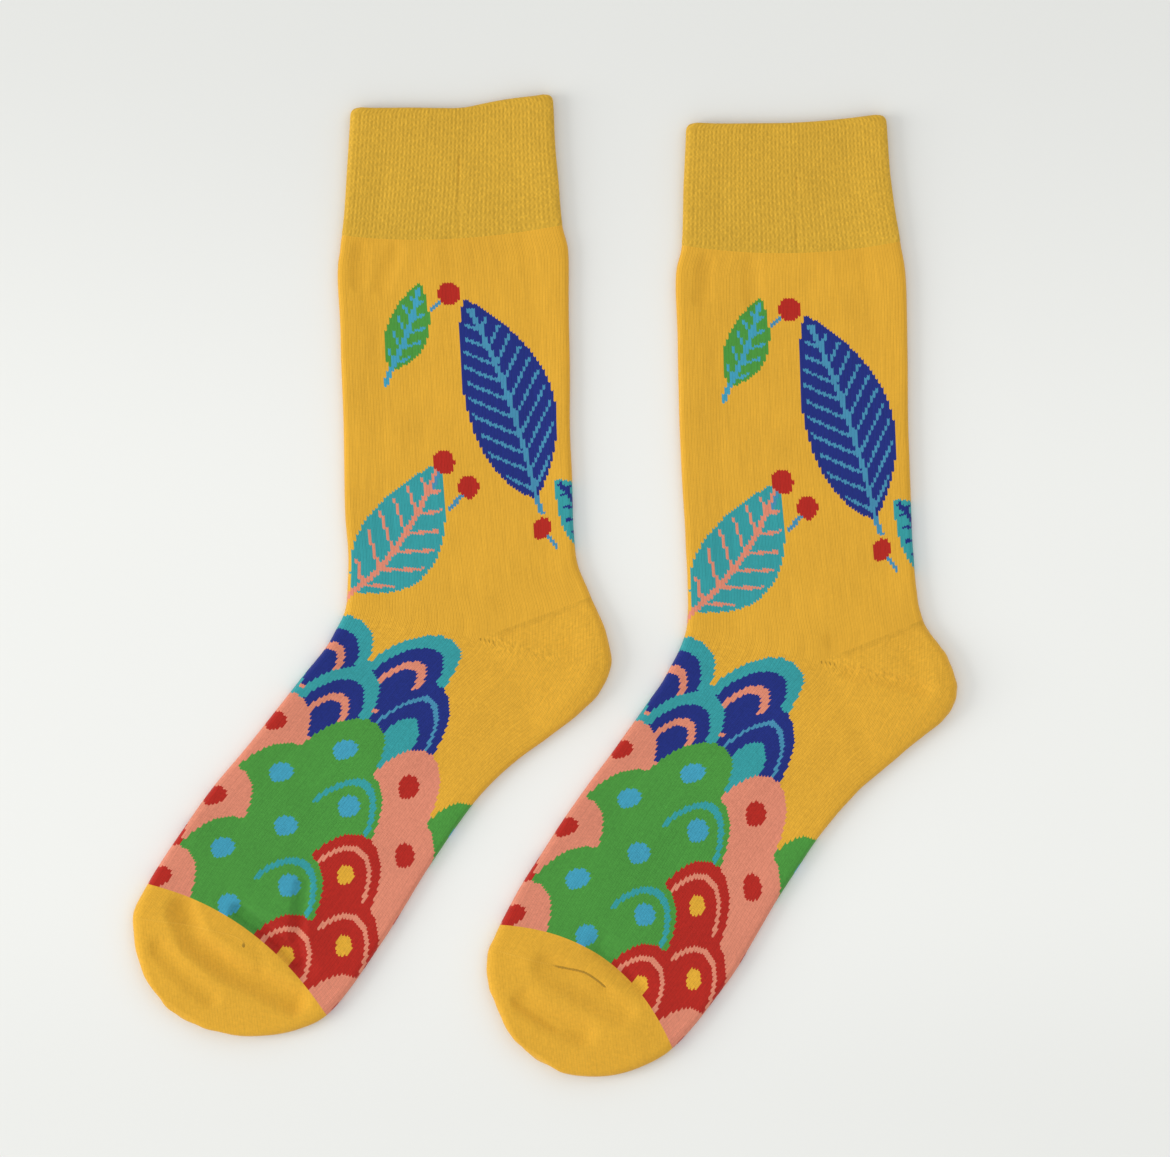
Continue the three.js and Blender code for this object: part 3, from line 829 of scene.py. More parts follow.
class Canvas:
    """The stitches of a piece as a chart: where each one lies, and which yarn it is knitted with."""

    def __init__(self, column: np.ndarray, row: np.ndarray, ground: Colour) -> None:
        """Starts a chart in one yarn.

        Args:
            column: wale of each stitch, counted round the tube from the front fold.
            row: course of each stitch, counted from the top of the piece.
            ground: the yarn of all stitches outside the motifs.
        """
        self.across = column * GAUGE.wale
        self.down = row * GAUGE.course
        self.round = GAUGE.around * GAUGE.wale
        self.yarn = np.full(len(column), YARNS.index(ground))

    def local(self, centre: Point, turn: float = 0.0) -> tuple[np.ndarray, np.ndarray]:
        """Gives places measured from a motif's centre.

        Args:
            centre: millimetres from the front fold and from the top of the piece.
            turn: how far the motif's length is turned from upright, in degrees clockwise.

        Returns:
            Millimetres along the motif, towards its tip, and across it.
        """
        across = (self.across - centre[0] + self.round / 2) % self.round - self.round / 2
        up = centre[1] - self.down
        angle = math.radians(turn)
        along = up * math.cos(angle) + across * math.sin(angle)
        aside = across * math.cos(angle) - up * math.sin(angle)
        return along, aside

    def fill(self, where: np.ndarray, colour: Colour) -> None:
        """Knits some stitches with a yarn."""
        self.yarn[where] = YARNS.index(colour)

    def colours(self) -> np.ndarray:
        """Gives the yarn of each stitch as linear red, green, blue and alpha."""
        table = np.array([(*yarn.linear, 1.0) for yarn in YARNS], dtype=np.float32)
        return table[self.yarn]


@dataclass(frozen=True)
class Leaf:
    """A plain leaf with a rib and side veins."""

    centre: Point
    length: float
    width: float
    turn: float
    fill: Colour
    vein: Colour
    rim: Colour
    spacing: float = 7.0
    slope: float = 0.9
    stalk: float = 7.0
    bow: float = 0.04  # how far the rib bends aside, as a share of the length
    blunt: float = 0.85
    narrowing: float = 0.22  # how much narrower it is towards its tip
    rim_width: float = 1.9
    stalk_half: float = 1.0
    rib_half: float = 0.95
    vein_half: float = 0.62

    def paint(self, chart: Canvas) -> None:
        """Knits the leaf into a chart.

        Args:
            chart: the chart.
        """
        along, aside = chart.local(self.centre, self.turn)
        x = along / (self.length / 2)
        lean = aside - self.bow * self.length * (1 - np.clip(x, -1, 1) ** 2)
        away = np.abs(lean)
        half = self.width / 2 * np.clip(1 - x * x, 0, 1) ** self.blunt * (1 - self.narrowing * x)
        inside = (np.abs(x) < 1) & (away < half)
        stalk = (away < self.stalk_half) & (x > -1 - 2 * self.stalk / self.length) & (x < -0.9)
        chart.fill(stalk, self.vein)
        chart.fill(inside, self.rim)
        body = inside & (away < half - self.rim_width)
        chart.fill(body, self.fill)
        phase = (along + self.length / 2 - self.slope * away) / self.spacing
        chart.fill(body & (np.abs(phase % 1 - 0.5) < self.vein_half / self.spacing + 0.02), self.vein)
        chart.fill(inside & (away < self.rib_half) & (x < 0.9), self.vein)


@dataclass(frozen=True)
class Berry:
    """A round berry on a short stem."""

    centre: Point
    size: float
    stem: float
    turn: float
    fill: Colour = Colour.RED
    stem_yarn: Colour = Colour.STEEL
    stem_half: float = 0.75

    def paint(self, chart: Canvas) -> None:
        """Knits the berry into a chart.

        Args:
            chart: the chart.
        """
        along, aside = chart.local(self.centre, self.turn)
        chart.fill((np.abs(aside) < self.stem_half) & (along < 0) & (along > -self.stem), self.stem_yarn)
        chart.fill(np.hypot(along, aside) < self.size / 2, self.fill)


@dataclass(frozen=True)
class Bands:
    """The yarns of one scallop: bands by share of its radius, from the rim inwards, and a dot on them."""

    steps: tuple[tuple[float, Colour], ...]
    dot: Colour | None = None
    dot_size: Point = (8.6, 9.6)
    dot_up: float = 11.5


TEAL_SCALLOP = Bands(((1.0, Colour.TEAL), (0.76, Colour.NAVY), (0.5, Colour.SALMON), (0.36, Colour.NAVY)))
NAVY_SCALLOP = Bands(((1.0, Colour.NAVY), (0.8, Colour.STEEL), (0.72, Colour.NAVY), (0.44, Colour.TEAL)))
GREEN_SCALLOP = Bands(((1.0, Colour.GREEN),), Colour.SKY)
LEAFY_SCALLOP = Bands(((1.0, Colour.GREEN), (0.88, Colour.TEAL), (0.76, Colour.GREEN)), Colour.SKY)
SALMON_SCALLOP = Bands(((1.0, Colour.SALMON),), Colour.RED)
RED_SCALLOP = Bands(((1.0, Colour.RED), (0.8, Colour.SALMON), (0.71, Colour.RED)), Colour.GOLD,
                    dot_size=(6.6, 8.0), dot_up=9.0)


@dataclass(frozen=True)
class ScallopRow:
    """One row of scallops round the foot."""

    base: float
    bands: tuple[Bands, ...]
    shifted: bool
    skipped: tuple[int, ...] = ()


@dataclass(frozen=True)
class Scallops:
    """Rows of overlapping scallops, an old pattern of fish scales, with their domes towards the leg."""

    rows: tuple[ScallopRow, ...]
    around: int = 6
    height: float = 27.0
    overlap: float = 0.6

    def paint(self, chart: Canvas) -> None:
        """Knits the rows into a chart, the upper ones first.

        Args:
            chart: the chart.
        """
        width = chart.round / self.around
        for row in self.rows:
            for i in range(self.around):
                if i in row.skipped:
                    continue
                along, aside = chart.local(((i + (0.5 if row.shifted else 0.0)) * width, row.base))
                away = np.hypot(aside / (width / 2 + self.overlap), along / self.height)
                bands = row.bands[i % len(row.bands)]
                for limit, colour in bands.steps:
                    chart.fill(away < limit, colour)
                if bands.dot is not None:
                    wide, tall = bands.dot_size
                    chart.fill(np.hypot(aside / wide, (along - bands.dot_up) / tall) < 0.5, bands.dot)


LEG_ART = (
    Leaf((60, 62), 80, 34, -18, Colour.NAVY, Colour.STEEL, Colour.NAVY),
    Leaf((17, 110), 62, 27, 34, Colour.TEAL, Colour.SALMON, Colour.TEAL, spacing=9.0),
    Leaf((24, 34), 36, 16, 22, Colour.GREEN, Colour.SKY, Colour.GREEN, spacing=6.0),
    Leaf((91, 112), 40, 19, -30, Colour.TEAL, Colour.NAVY, Colour.TEAL, spacing=7.0),
    Berry((36, 84), 8.6, 11, 28),
    Berry((45, 93), 8.2, 12, 46),
    Berry((42, 22), 8.8, 10, 52),
    Berry((74, 112), 8.2, 11, -34),
    Leaf((126, 58), 76, 33, 20, Colour.NAVY, Colour.STEEL, Colour.NAVY),
    Leaf((160, 104), 58, 26, -32, Colour.TEAL, Colour.SALMON, Colour.TEAL, spacing=9.0),
    Leaf((160, 32), 36, 16, -24, Colour.GREEN, Colour.SKY, Colour.GREEN, spacing=6.0),
    Berry((144, 22), 8.6, 11, -40),
    Berry((132, 108), 8.4, 11, 30),
    Berry((106, 30), 8.4, 10, 14),
)

FOOT_ART = (
    Scallops((
        ScallopRow(29, (TEAL_SCALLOP,), False, (2, 3, 4)),
        ScallopRow(50, (TEAL_SCALLOP, NAVY_SCALLOP, TEAL_SCALLOP), True, (2,)),
        ScallopRow(71, (SALMON_SCALLOP, GREEN_SCALLOP), False),
        ScallopRow(92, (GREEN_SCALLOP, LEAFY_SCALLOP, SALMON_SCALLOP), True),
        ScallopRow(113, (SALMON_SCALLOP, GREEN_SCALLOP, RED_SCALLOP), False),
        ScallopRow(134, (GREEN_SCALLOP, LEAFY_SCALLOP, RED_SCALLOP), True),
        ScallopRow(155, (SALMON_SCALLOP, GREEN_SCALLOP, RED_SCALLOP), False),
        ScallopRow(176, (SALMON_SCALLOP,), True),
    )),
)


class Graph:
    """Builds a material's nodes from short steps."""

    def __init__(self, name: str) -> None:
        """Starts a material.

        Args:
            name: the material's name.
        """
        self.material = bpy.data.materials.new(name)
        self.material.use_nodes = True
        self.tree = self.material.node_tree
        self.tree.nodes.clear()

    def node(self, kind: str, **settings: object) -> bpy.types.Node:
        """Adds a node and sets its options.

        Args:
            kind: its type.
            settings: its options by name.

        Returns:
            The node.
        """
        made = self.tree.nodes.new(kind)
        for key, value in settings.items():
            setattr(made, key, value)
        return made

    def feed(self, socket: Socket, value: object) -> None:
        """Links a socket to another one, or writes a constant on it.

        Args:
            socket: the socket.
            value: another socket or a constant.
        """
        if isinstance(value, Socket):
            self.tree.links.new(value, socket)
        else:
            socket.default_value = value

    def fed(self, made: bpy.types.Node, *values: object) -> Socket:
        """Feeds a node's sockets in order.

        Args:
            made: the node.
            values: sockets or constants.

        Returns:
            The node's first output.
        """
        for socket, value in zip(made.inputs, values):
            self.feed(socket, value)
        return made.outputs[0]

    def math(self, operation: str, *values: object) -> Socket:
        """Adds a math node on sockets or numbers."""
        return self.fed(self.node("ShaderNodeMath", operation=operation), *values)

    def hump(self, value: object) -> Socket:
        """Gives 1 at 0, falling to 0 at -1 and at 1."""
        fallen = self.math("SUBTRACT", 1.0, self.math("MULTIPLY", value, value))
        return self.math("MAXIMUM", fallen, 0.0)

    def arch(self, value: object) -> Socket:
        """Turns 0 to 1 into a round arch that is 0 at both ends and 1 in the middle."""
        return self.hump(self.math("MULTIPLY_ADD", value, 2.0, -1.0))

    def vary(self, tone: object, noise: object, amount: float) -> Socket:
        """Adds a noise, counted from its middle, to a tone."""
        return self.math("MULTIPLY_ADD", self.math("SUBTRACT", noise, 0.5), amount, tone)

    def ramp(self, value: object, low: float, high: float, start: float, end: float) -> Socket:
        """Goes smoothly from a start, where a value is low, to an end, where it is high."""
        made = self.node("ShaderNodeMapRange", interpolation_type="SMOOTHSTEP")
        return self.fed(made, value, low, high, start, end)

    def scale(self, colour: object, factor: object) -> Socket:
        """Makes a colour lighter or darker.

        Args:
            colour: the colour.
            factor: what it is multiplied by.

        Returns:
            The new colour.
        """
        made = self.node("ShaderNodeVectorMath", operation="SCALE")
        self.feed(made.inputs["Scale"], factor)
        return self.fed(made, colour)

    def place(self, x: object, y: object, z: object = 0.0) -> Socket:
        """Joins three values into a vector."""
        return self.fed(self.node("ShaderNodeCombineXYZ"), x, y, z)

    def split(self, vector: object) -> tuple[Socket, ...]:
        """Takes a vector apart into its three values."""
        first = self.fed(self.node("ShaderNodeSeparateXYZ"), vector)
        return tuple(first.node.outputs)

    def uv(self, name: str) -> tuple[Socket, ...]:
        """Reads the two coordinates of a UV map."""
        return self.split(self.node("ShaderNodeUVMap", uv_map=name).outputs[0])[:2]

    def where(self) -> Socket:
        """Reads the place on the object, in metres."""
        return self.node("ShaderNodeTexCoord").outputs["Object"]

    def yarn(self) -> Socket:
        """Reads the yarn that each stitch is knitted with."""
        return self.node("ShaderNodeAttribute", attribute_name="yarn").outputs["Color"]

    def noise(self, vector: object, scale: float, detail: float = 2.0, rough: float = 0.5) -> Socket:
        """Adds a soft noise.

        Args:
            vector: where it is read.
            scale: how fine it is.
            detail: how many finer layers it has.
            rough: how strong those are.

        Returns:
            Its value, around 0.5.
        """
        made = self.node("ShaderNodeTexNoise")
        for key, value in (("Vector", vector), ("Scale", scale), ("Detail", detail), ("Roughness", rough)):
            self.feed(made.inputs[key], value)
        return made.outputs[0]

    def cloth_noise(self, u: object, v: object, across: float, down: float, detail: float = 2.0,
                    rough: float = 0.5, layer: float = 0.0) -> Socket:
        """Adds a soft noise that follows the cloth.

        Args:
            u: the wale.
            v: the course.
            across: how fine it is across the wales.
            down: how fine it is down the courses.
            detail: how many finer layers it has.
            rough: how strong those are.
            layer: which noise of the kind it is.

        Returns:
            Its value, around 0.5.
        """
        at = self.place(self.math("MULTIPLY", u, across), self.math("MULTIPLY", v, down), layer)
        return self.noise(at, 1.0, detail, rough)

    def dice(self, vector: object) -> Socket:
        """Gives one random value per whole place.

        Args:
            vector: where it is read.

        Returns:
            Its value from 0 to 1.
        """
        whole = self.fed(self.node("ShaderNodeVectorMath", operation="FLOOR"), vector)
        made = self.node("ShaderNodeTexWhiteNoise", noise_dimensions="3D")
        self.feed(made.inputs["Vector"], whole)
        return made.outputs[0]

    def bump(self, height: object, strength: float, distance: float, normal: Socket | None = None) -> Socket:
        """Adds a bump.

        Args:
            height: the relief, from 0 to about 1.
            strength: how much of it shows.
            distance: height in metres that 1 stands for.
            normal: the normal that it is added to.

        Returns:
            The new normal.
        """
        made = self.node("ShaderNodeBump")
        for key, value in (("Strength", strength), ("Distance", distance), ("Height", height)):
            self.feed(made.inputs[key], value)
        if normal is not None:
            self.feed(made.inputs["Normal"], normal)
        return made.outputs[0]

    def finish(self, colour: object, normal: object, settings: dict[str, object]) -> bpy.types.Material:
        """Ends the material with its surface.

        Args:
            colour: the surface's colour.
            normal: the surface's normal.
            settings: constants by the name of their socket.

        Returns:
            The material.
        """
        surface = self.node("ShaderNodeBsdfPrincipled")
        for key, value in {"Base Color": colour, "Normal": normal, **settings}.items():
            self.feed(surface.inputs[key], value)
        self.feed(self.node("ShaderNodeOutputMaterial").inputs["Surface"], surface.outputs[0])
        return self.material


def cotton(roughness: float, sheen: float) -> dict[str, object]:
    """Lists how cotton yarn reflects light: matt, with a soft and warm sheen.

    Args:
        roughness: how matt it is.
        sheen: how much its fuzz shows.

    Returns:
        Constants by the name of their socket.
    """
    return {
        "Roughness": roughness,
        "Specular IOR Level": 0.2,
        "Sheen Weight": sheen,
        "Sheen Roughness": 0.5,
        "Sheen Tint": (1.0, 0.95, 0.86, 1.0),
    }


@dataclass(frozen=True)
class PlainKnit:
    """Cotton yarn in plain knitting: columns of small interlocked stitches, matt, with a little fuzz."""

    name: str
    streak: float = 0.27  # tone of the lines down the cloth
    stitch: float = 0.03  # tone of single stitches
    bumps: float = 0.08  # tone of the soft lumps
    cloud: float = 0.16  # tone of wide patches
    rows: float = 0.3  # how clearly the courses show
    valley: float = 0.14  # painted shade: how much darker the gaps between stitches are drawn
    middle: float = 0.62  # height of the cloth at which the painted shade leaves the tone as it is
    border: float = 0.6  # depth of the gap between two wales
    fibre: float = 0.25  # height of the fibres
    mitre: bool = False  # whether it has the line where the rows of a pocket meet
    relief: float = 0.4
    depth: float = 0.3 * MM
    roughness: float = 0.86
    sheen: float = 0.13

    DRAWN_REACH = 3.6  # millimetres beside the line within which stitches are drawn
    DRAWN_FADE = (22.0, 46.0, 1.0, 0.15)  # from and to along the line, and how strong it is there
    DRAWN_TONE = 0.8
    DRAWN_HEIGHT = 3.0
    HOLE_SPACING = 1.75  # millimetres from one small hole to the next
    HOLE_WIDTH = 0.42
    HOLE_START = 0.6
    HOLE_FADE = (5.0, 9.0, 1.0, 0.0)
    # painted shade in the small holes
    HOLE_SHADE = -0.42
    HOLE_HEIGHT = -1.6
    SHADE_BAND_COURSE = 1.3  # middle of the band of painted shade on the pocket's first courses
    SHADE_BAND_REACH = 2.4
    SHADE_BAND_FROM = (1.5, 6.0, 0.0, 1.0)  # how far above the line the band of painted shade starts
    # how dark the band of painted shade is
    SHADE_BAND_TONE = -0.085

    def build(self) -> bpy.types.Material:
        """Makes the material.

        Returns:
            The material.
        """
        g = Graph(self.name)
        u, v = g.uv("stitches")
        aside = g.math("ABSOLUTE", g.math("SUBTRACT", g.math("FRACT", u), 0.5))
        lean = g.math("MULTIPLY", aside, 2.0)
        legs = g.math("POWER", g.arch(lean), 0.6)
        stack = g.arch(g.math("FRACT", g.math("MULTIPLY_ADD", lean, SLANT, v)))
        yarn = g.math("MULTIPLY", legs, g.math("MULTIPLY_ADD", stack, self.rows, 1.0 - self.rows))
        gap = g.math("MULTIPLY", g.math("POWER", lean, 4.0), self.border)
        height = g.math("SUBTRACT", yarn, gap)
        height = g.math("MULTIPLY_ADD", g.cloth_noise(u, v, 7.0, 3.0), self.fibre, height)

        bumps = g.cloth_noise(u, v, 0.85, 0.6, 2.0, 0.65)
        tone = g.vary(1.0, g.cloth_noise(u, v, 1.15, 0.05, 1.0, 0.6), self.streak)
        tone = g.vary(tone, bumps, self.bumps)
        tone = g.vary(tone, g.dice(g.place(u, v)), self.stitch)
        tone = g.vary(tone, g.noise(g.where(), 34.0, 3.0), self.cloud)
        # painted shade: the lower the relief, the darker the yarn is drawn, as if shade fell between the
        # stitches
        low = g.math("MINIMUM", height, 1.0)
        shade = g.math("MULTIPLY_ADD", low, self.valley, 1.0 - self.valley * self.middle)
        tone = g.math("MULTIPLY", tone, shade)
        height = g.math("MULTIPLY_ADD", bumps, 3 * self.bumps, height)
        if self.mitre:
            tone, height = self.fashioning(g, tone, height)
        loose = g.bump(g.noise(g.where(), 120.0, 2.0), 0.25, 0.35 * MM)
        normal = g.bump(height, self.relief, self.depth, loose)
        return g.finish(g.scale(g.yarn(), tone), normal, cotton(self.roughness, self.sheen))

    def fashioning(self, g: Graph, tone: Socket, height: Socket) -> tuple[Socket, Socket]:
        """Adds the drawn stitches where the rows of the pocket meet, with small holes beside its point.

        A band of painted shade darkens the pocket's first courses, beside the line where the pocket meets the
        leg.

        Args:
            g: the material being built.
            tone: the yarn's tone so far.
            height: the relief so far.

        Returns:
            The new tone and the new relief.
        """
        along, aside = g.uv("mitre")
        near = g.hump(g.math("DIVIDE", aside, self.DRAWN_REACH))
        near = g.math("MULTIPLY", near, g.ramp(along, *self.DRAWN_FADE))
        slanted = g.math("MULTIPLY_ADD", aside, 0.5, g.math("MULTIPLY", along, 0.75))
        drawn = g.noise(g.place(slanted, g.math("MULTIPLY", aside, 0.5)), 1.0, 1.5, 0.6)
        drawn = g.math("SUBTRACT", drawn, 0.5)
        pull = g.math("MULTIPLY", drawn, near)
        tone = g.math("MULTIPLY_ADD", pull, self.DRAWN_TONE, tone)
        height = g.math("MULTIPLY_ADD", pull, self.DRAWN_HEIGHT, height)

        turn = g.math("DIVIDE", g.math("MULTIPLY_ADD", aside, 0.5, along), self.HOLE_SPACING)
        from_hole = g.math("MULTIPLY", g.math("SUBTRACT", g.math("FRACT", turn), 0.5), self.HOLE_SPACING)
        across = g.math("DIVIDE", from_hole, self.HOLE_WIDTH)
        away = g.math("ADD", g.math("MULTIPLY", across, across), g.math("MULTIPLY", aside, aside))
        hole = g.math("MAXIMUM", g.math("SUBTRACT", 1.0, away), 0.0)
        hole = g.math("MULTIPLY", hole, g.ramp(along, *self.HOLE_FADE))
        hole = g.math("MULTIPLY", hole, g.math("GREATER_THAN", along, self.HOLE_START))
        # painted shade: the small holes are drawn darker
        tone = g.math("MULTIPLY_ADD", hole, self.HOLE_SHADE, tone)
        height = g.math("MULTIPLY_ADD", hole, self.HOLE_HEIGHT, height)

        # painted shade along the pocket's first courses, for the soft trough where the leg meets the pocket
        from_course = g.math("SUBTRACT", g.uv("stitches")[1], self.SHADE_BAND_COURSE)
        first = g.hump(g.math("DIVIDE", from_course, self.SHADE_BAND_REACH))
        shade_band = g.math("MULTIPLY", first, g.ramp(aside, *self.SHADE_BAND_FROM))
        shade_band = g.math("MULTIPLY", shade_band, g.math("ADD", drawn, 1.0))
        return g.math("MULTIPLY_ADD", shade_band, self.SHADE_BAND_TONE, tone), height


@dataclass(frozen=True)
class RibbedWelt:
    """Cotton and elastic yarn in the cuff: fine ribs under a close, staggered grain of small stitches."""

    name: str
    relief: float = 0.45
    depth: float = 0.2 * MM
    grain_per_course: float = 0.447
    drift: float = 0.6  # how far the grain strays across, in ribs
    slip: float = 5.0  # how far it strays down, in courses
    tone: float = 0.93
    roughness: float = 0.85
    sheen: float = 0.12

    def build(self) -> bpy.types.Material:
        """Makes the material.

        Returns:
            The material.
        """
        g = Graph(self.name)
        u, v = g.uv("stitches")
        across_at = g.vary(u, g.cloth_noise(u, v, 0.7, 0.35), self.drift)
        down_at = g.vary(v, g.cloth_noise(u, v, 0.45, 0.2, layer=7.0), self.slip)
        across = g.math("COSINE", g.math("MULTIPLY", across_at, 2 * math.pi))
        down = g.math("COSINE", g.math("MULTIPLY", down_at, 2 * math.pi * self.grain_per_course))
        grain = g.math("MULTIPLY_ADD", g.math("MULTIPLY", across, down), 0.5, 0.5)
        rib = g.math("MULTIPLY_ADD", across, -0.5, 0.5)
        stitch = g.dice(g.place(g.math("MULTIPLY", u, 2.0), v))
        height = g.math("MULTIPLY", grain, g.math("MULTIPLY_ADD", stitch, 0.5, 0.5))
        height = g.math("MULTIPLY_ADD", rib, 0.28, height)
        height = g.math("MULTIPLY_ADD", g.cloth_noise(u, v, 2.2, 1.3, 2.0, 0.6), 0.9, height)

        tone = g.vary(self.tone, g.cloth_noise(u, v, 1.1, 0.05, 2.0, 0.6), 0.2)
        tone = g.vary(tone, stitch, 0.08)
        tone = g.vary(tone, g.noise(g.where(), 40.0, 3.0), 0.12)
        # painted shade: the low parts of the ribs and the grain are drawn darker
        tone = g.math("MULTIPLY", tone, g.math("MULTIPLY_ADD", height, 0.26, 0.77))
        normal = g.bump(height, self.relief, self.depth)
        return g.finish(g.scale(g.yarn(), tone), normal, cotton(self.roughness, self.sheen))


@dataclass(frozen=True)
class SeamThread:
    """The sewing of the toe seam: slanting turns of thread side by side."""

    name: str
    colour: tuple[float, float, float] = (0.78, 0.42, 0.036)
    slant: float = 0.7
    drawn_in: tuple[float, float, float, float] = (0.0, 6.0, 1.0, 0.55)  # from and to in turns, and the tones of the painted shade where the seam lies in a crease

    def build(self) -> bpy.types.Material:
        """Makes the material.

        Returns:
            The material.
        """
        g = Graph(self.name)
        u, v = g.uv("stitches")
        turns = g.math("FRACT", g.math("MULTIPLY_ADD", u, self.slant, v))
        thread = g.math("POWER", g.arch(turns), 0.6)
        # painted shade: darker between the turns of thread, and darker where the seam is drawn into a crease
        tone = g.math("MULTIPLY", g.math("MULTIPLY_ADD", thread, 0.16, 0.84), g.ramp(v, *self.drawn_in))
        normal = g.bump(thread, 0.6, 0.2 * MM)
        return g.finish(g.scale(self.colour, tone), normal, {
            "Roughness": 0.8,
            "Specular IOR Level": 0.2,
            "Sheen Weight": 0.15,
        })


@dataclass(frozen=True)
class PaleTable:
    """A matt pale surface with a hardly visible unevenness of tone, and painted shade that darkens it towards
    its top and bottom.
    """

    name: str = "pale_table"
    tone: tuple[float, float, float] = (0.86, 0.862, 0.828)
    top: tuple[float, float, float, float] = (0.02, 0.24, 1.0, 0.89)  # painted shade towards the top: from and to in metres, and the tones
    # painted shade towards the bottom: from and to in metres, and the tones
    foot: tuple[float, float, float, float] = (-0.21, -0.11, 0.955, 1.0)

    def build(self) -> bpy.types.Material:
        """Makes the material.

        Returns:
            The material.
        """
        g = Graph(self.name)
        where = g.where()
        y = g.split(where)[1]
        # painted shade: darker towards the top and the bottom of the table
        ends = g.math("MULTIPLY", g.ramp(y, *self.top), g.ramp(y, *self.foot))
        tone = g.vary(ends, g.noise(where, 2.2, 2.0), 0.05)
        normal = g.bump(g.noise(where, 900.0, 1.0), 0.05, 0.05 * MM)
        return g.finish(g.scale(self.tone, tone), normal, {"Roughness": 0.7, "Specular IOR Level": 0.2})


@dataclass(frozen=True)
class Wardrobe:
    """All finishes of the pair."""

    leg: bpy.types.Material
    foot: bpy.types.Material
    heel: bpy.types.Material
    toe: bpy.types.Material
    welt: bpy.types.Material
    seam: bpy.types.Material

    @classmethod
    def make(cls) -> "Wardrobe":
        """Builds each finish once."""
        return cls(
            leg=PlainKnit("leg_knit").build(),
            foot=PlainKnit("foot_knit", streak=0.2, stitch=0.08, bumps=0.32, rows=0.5, valley=0.18).build(),
            heel=PlainKnit("heel_knit", streak=0.16, stitch=0.06, bumps=0.42, rows=0.5, valley=0.2,
                           mitre=True).build(),
            toe=PlainKnit("toe_knit", streak=0.12, stitch=0.04, bumps=0.3, rows=0.5, valley=0.11,
                          relief=0.3).build(),
            welt=RibbedWelt("ribbed_welt").build(),
            seam=SeamThread("seam_thread").build(),
        )


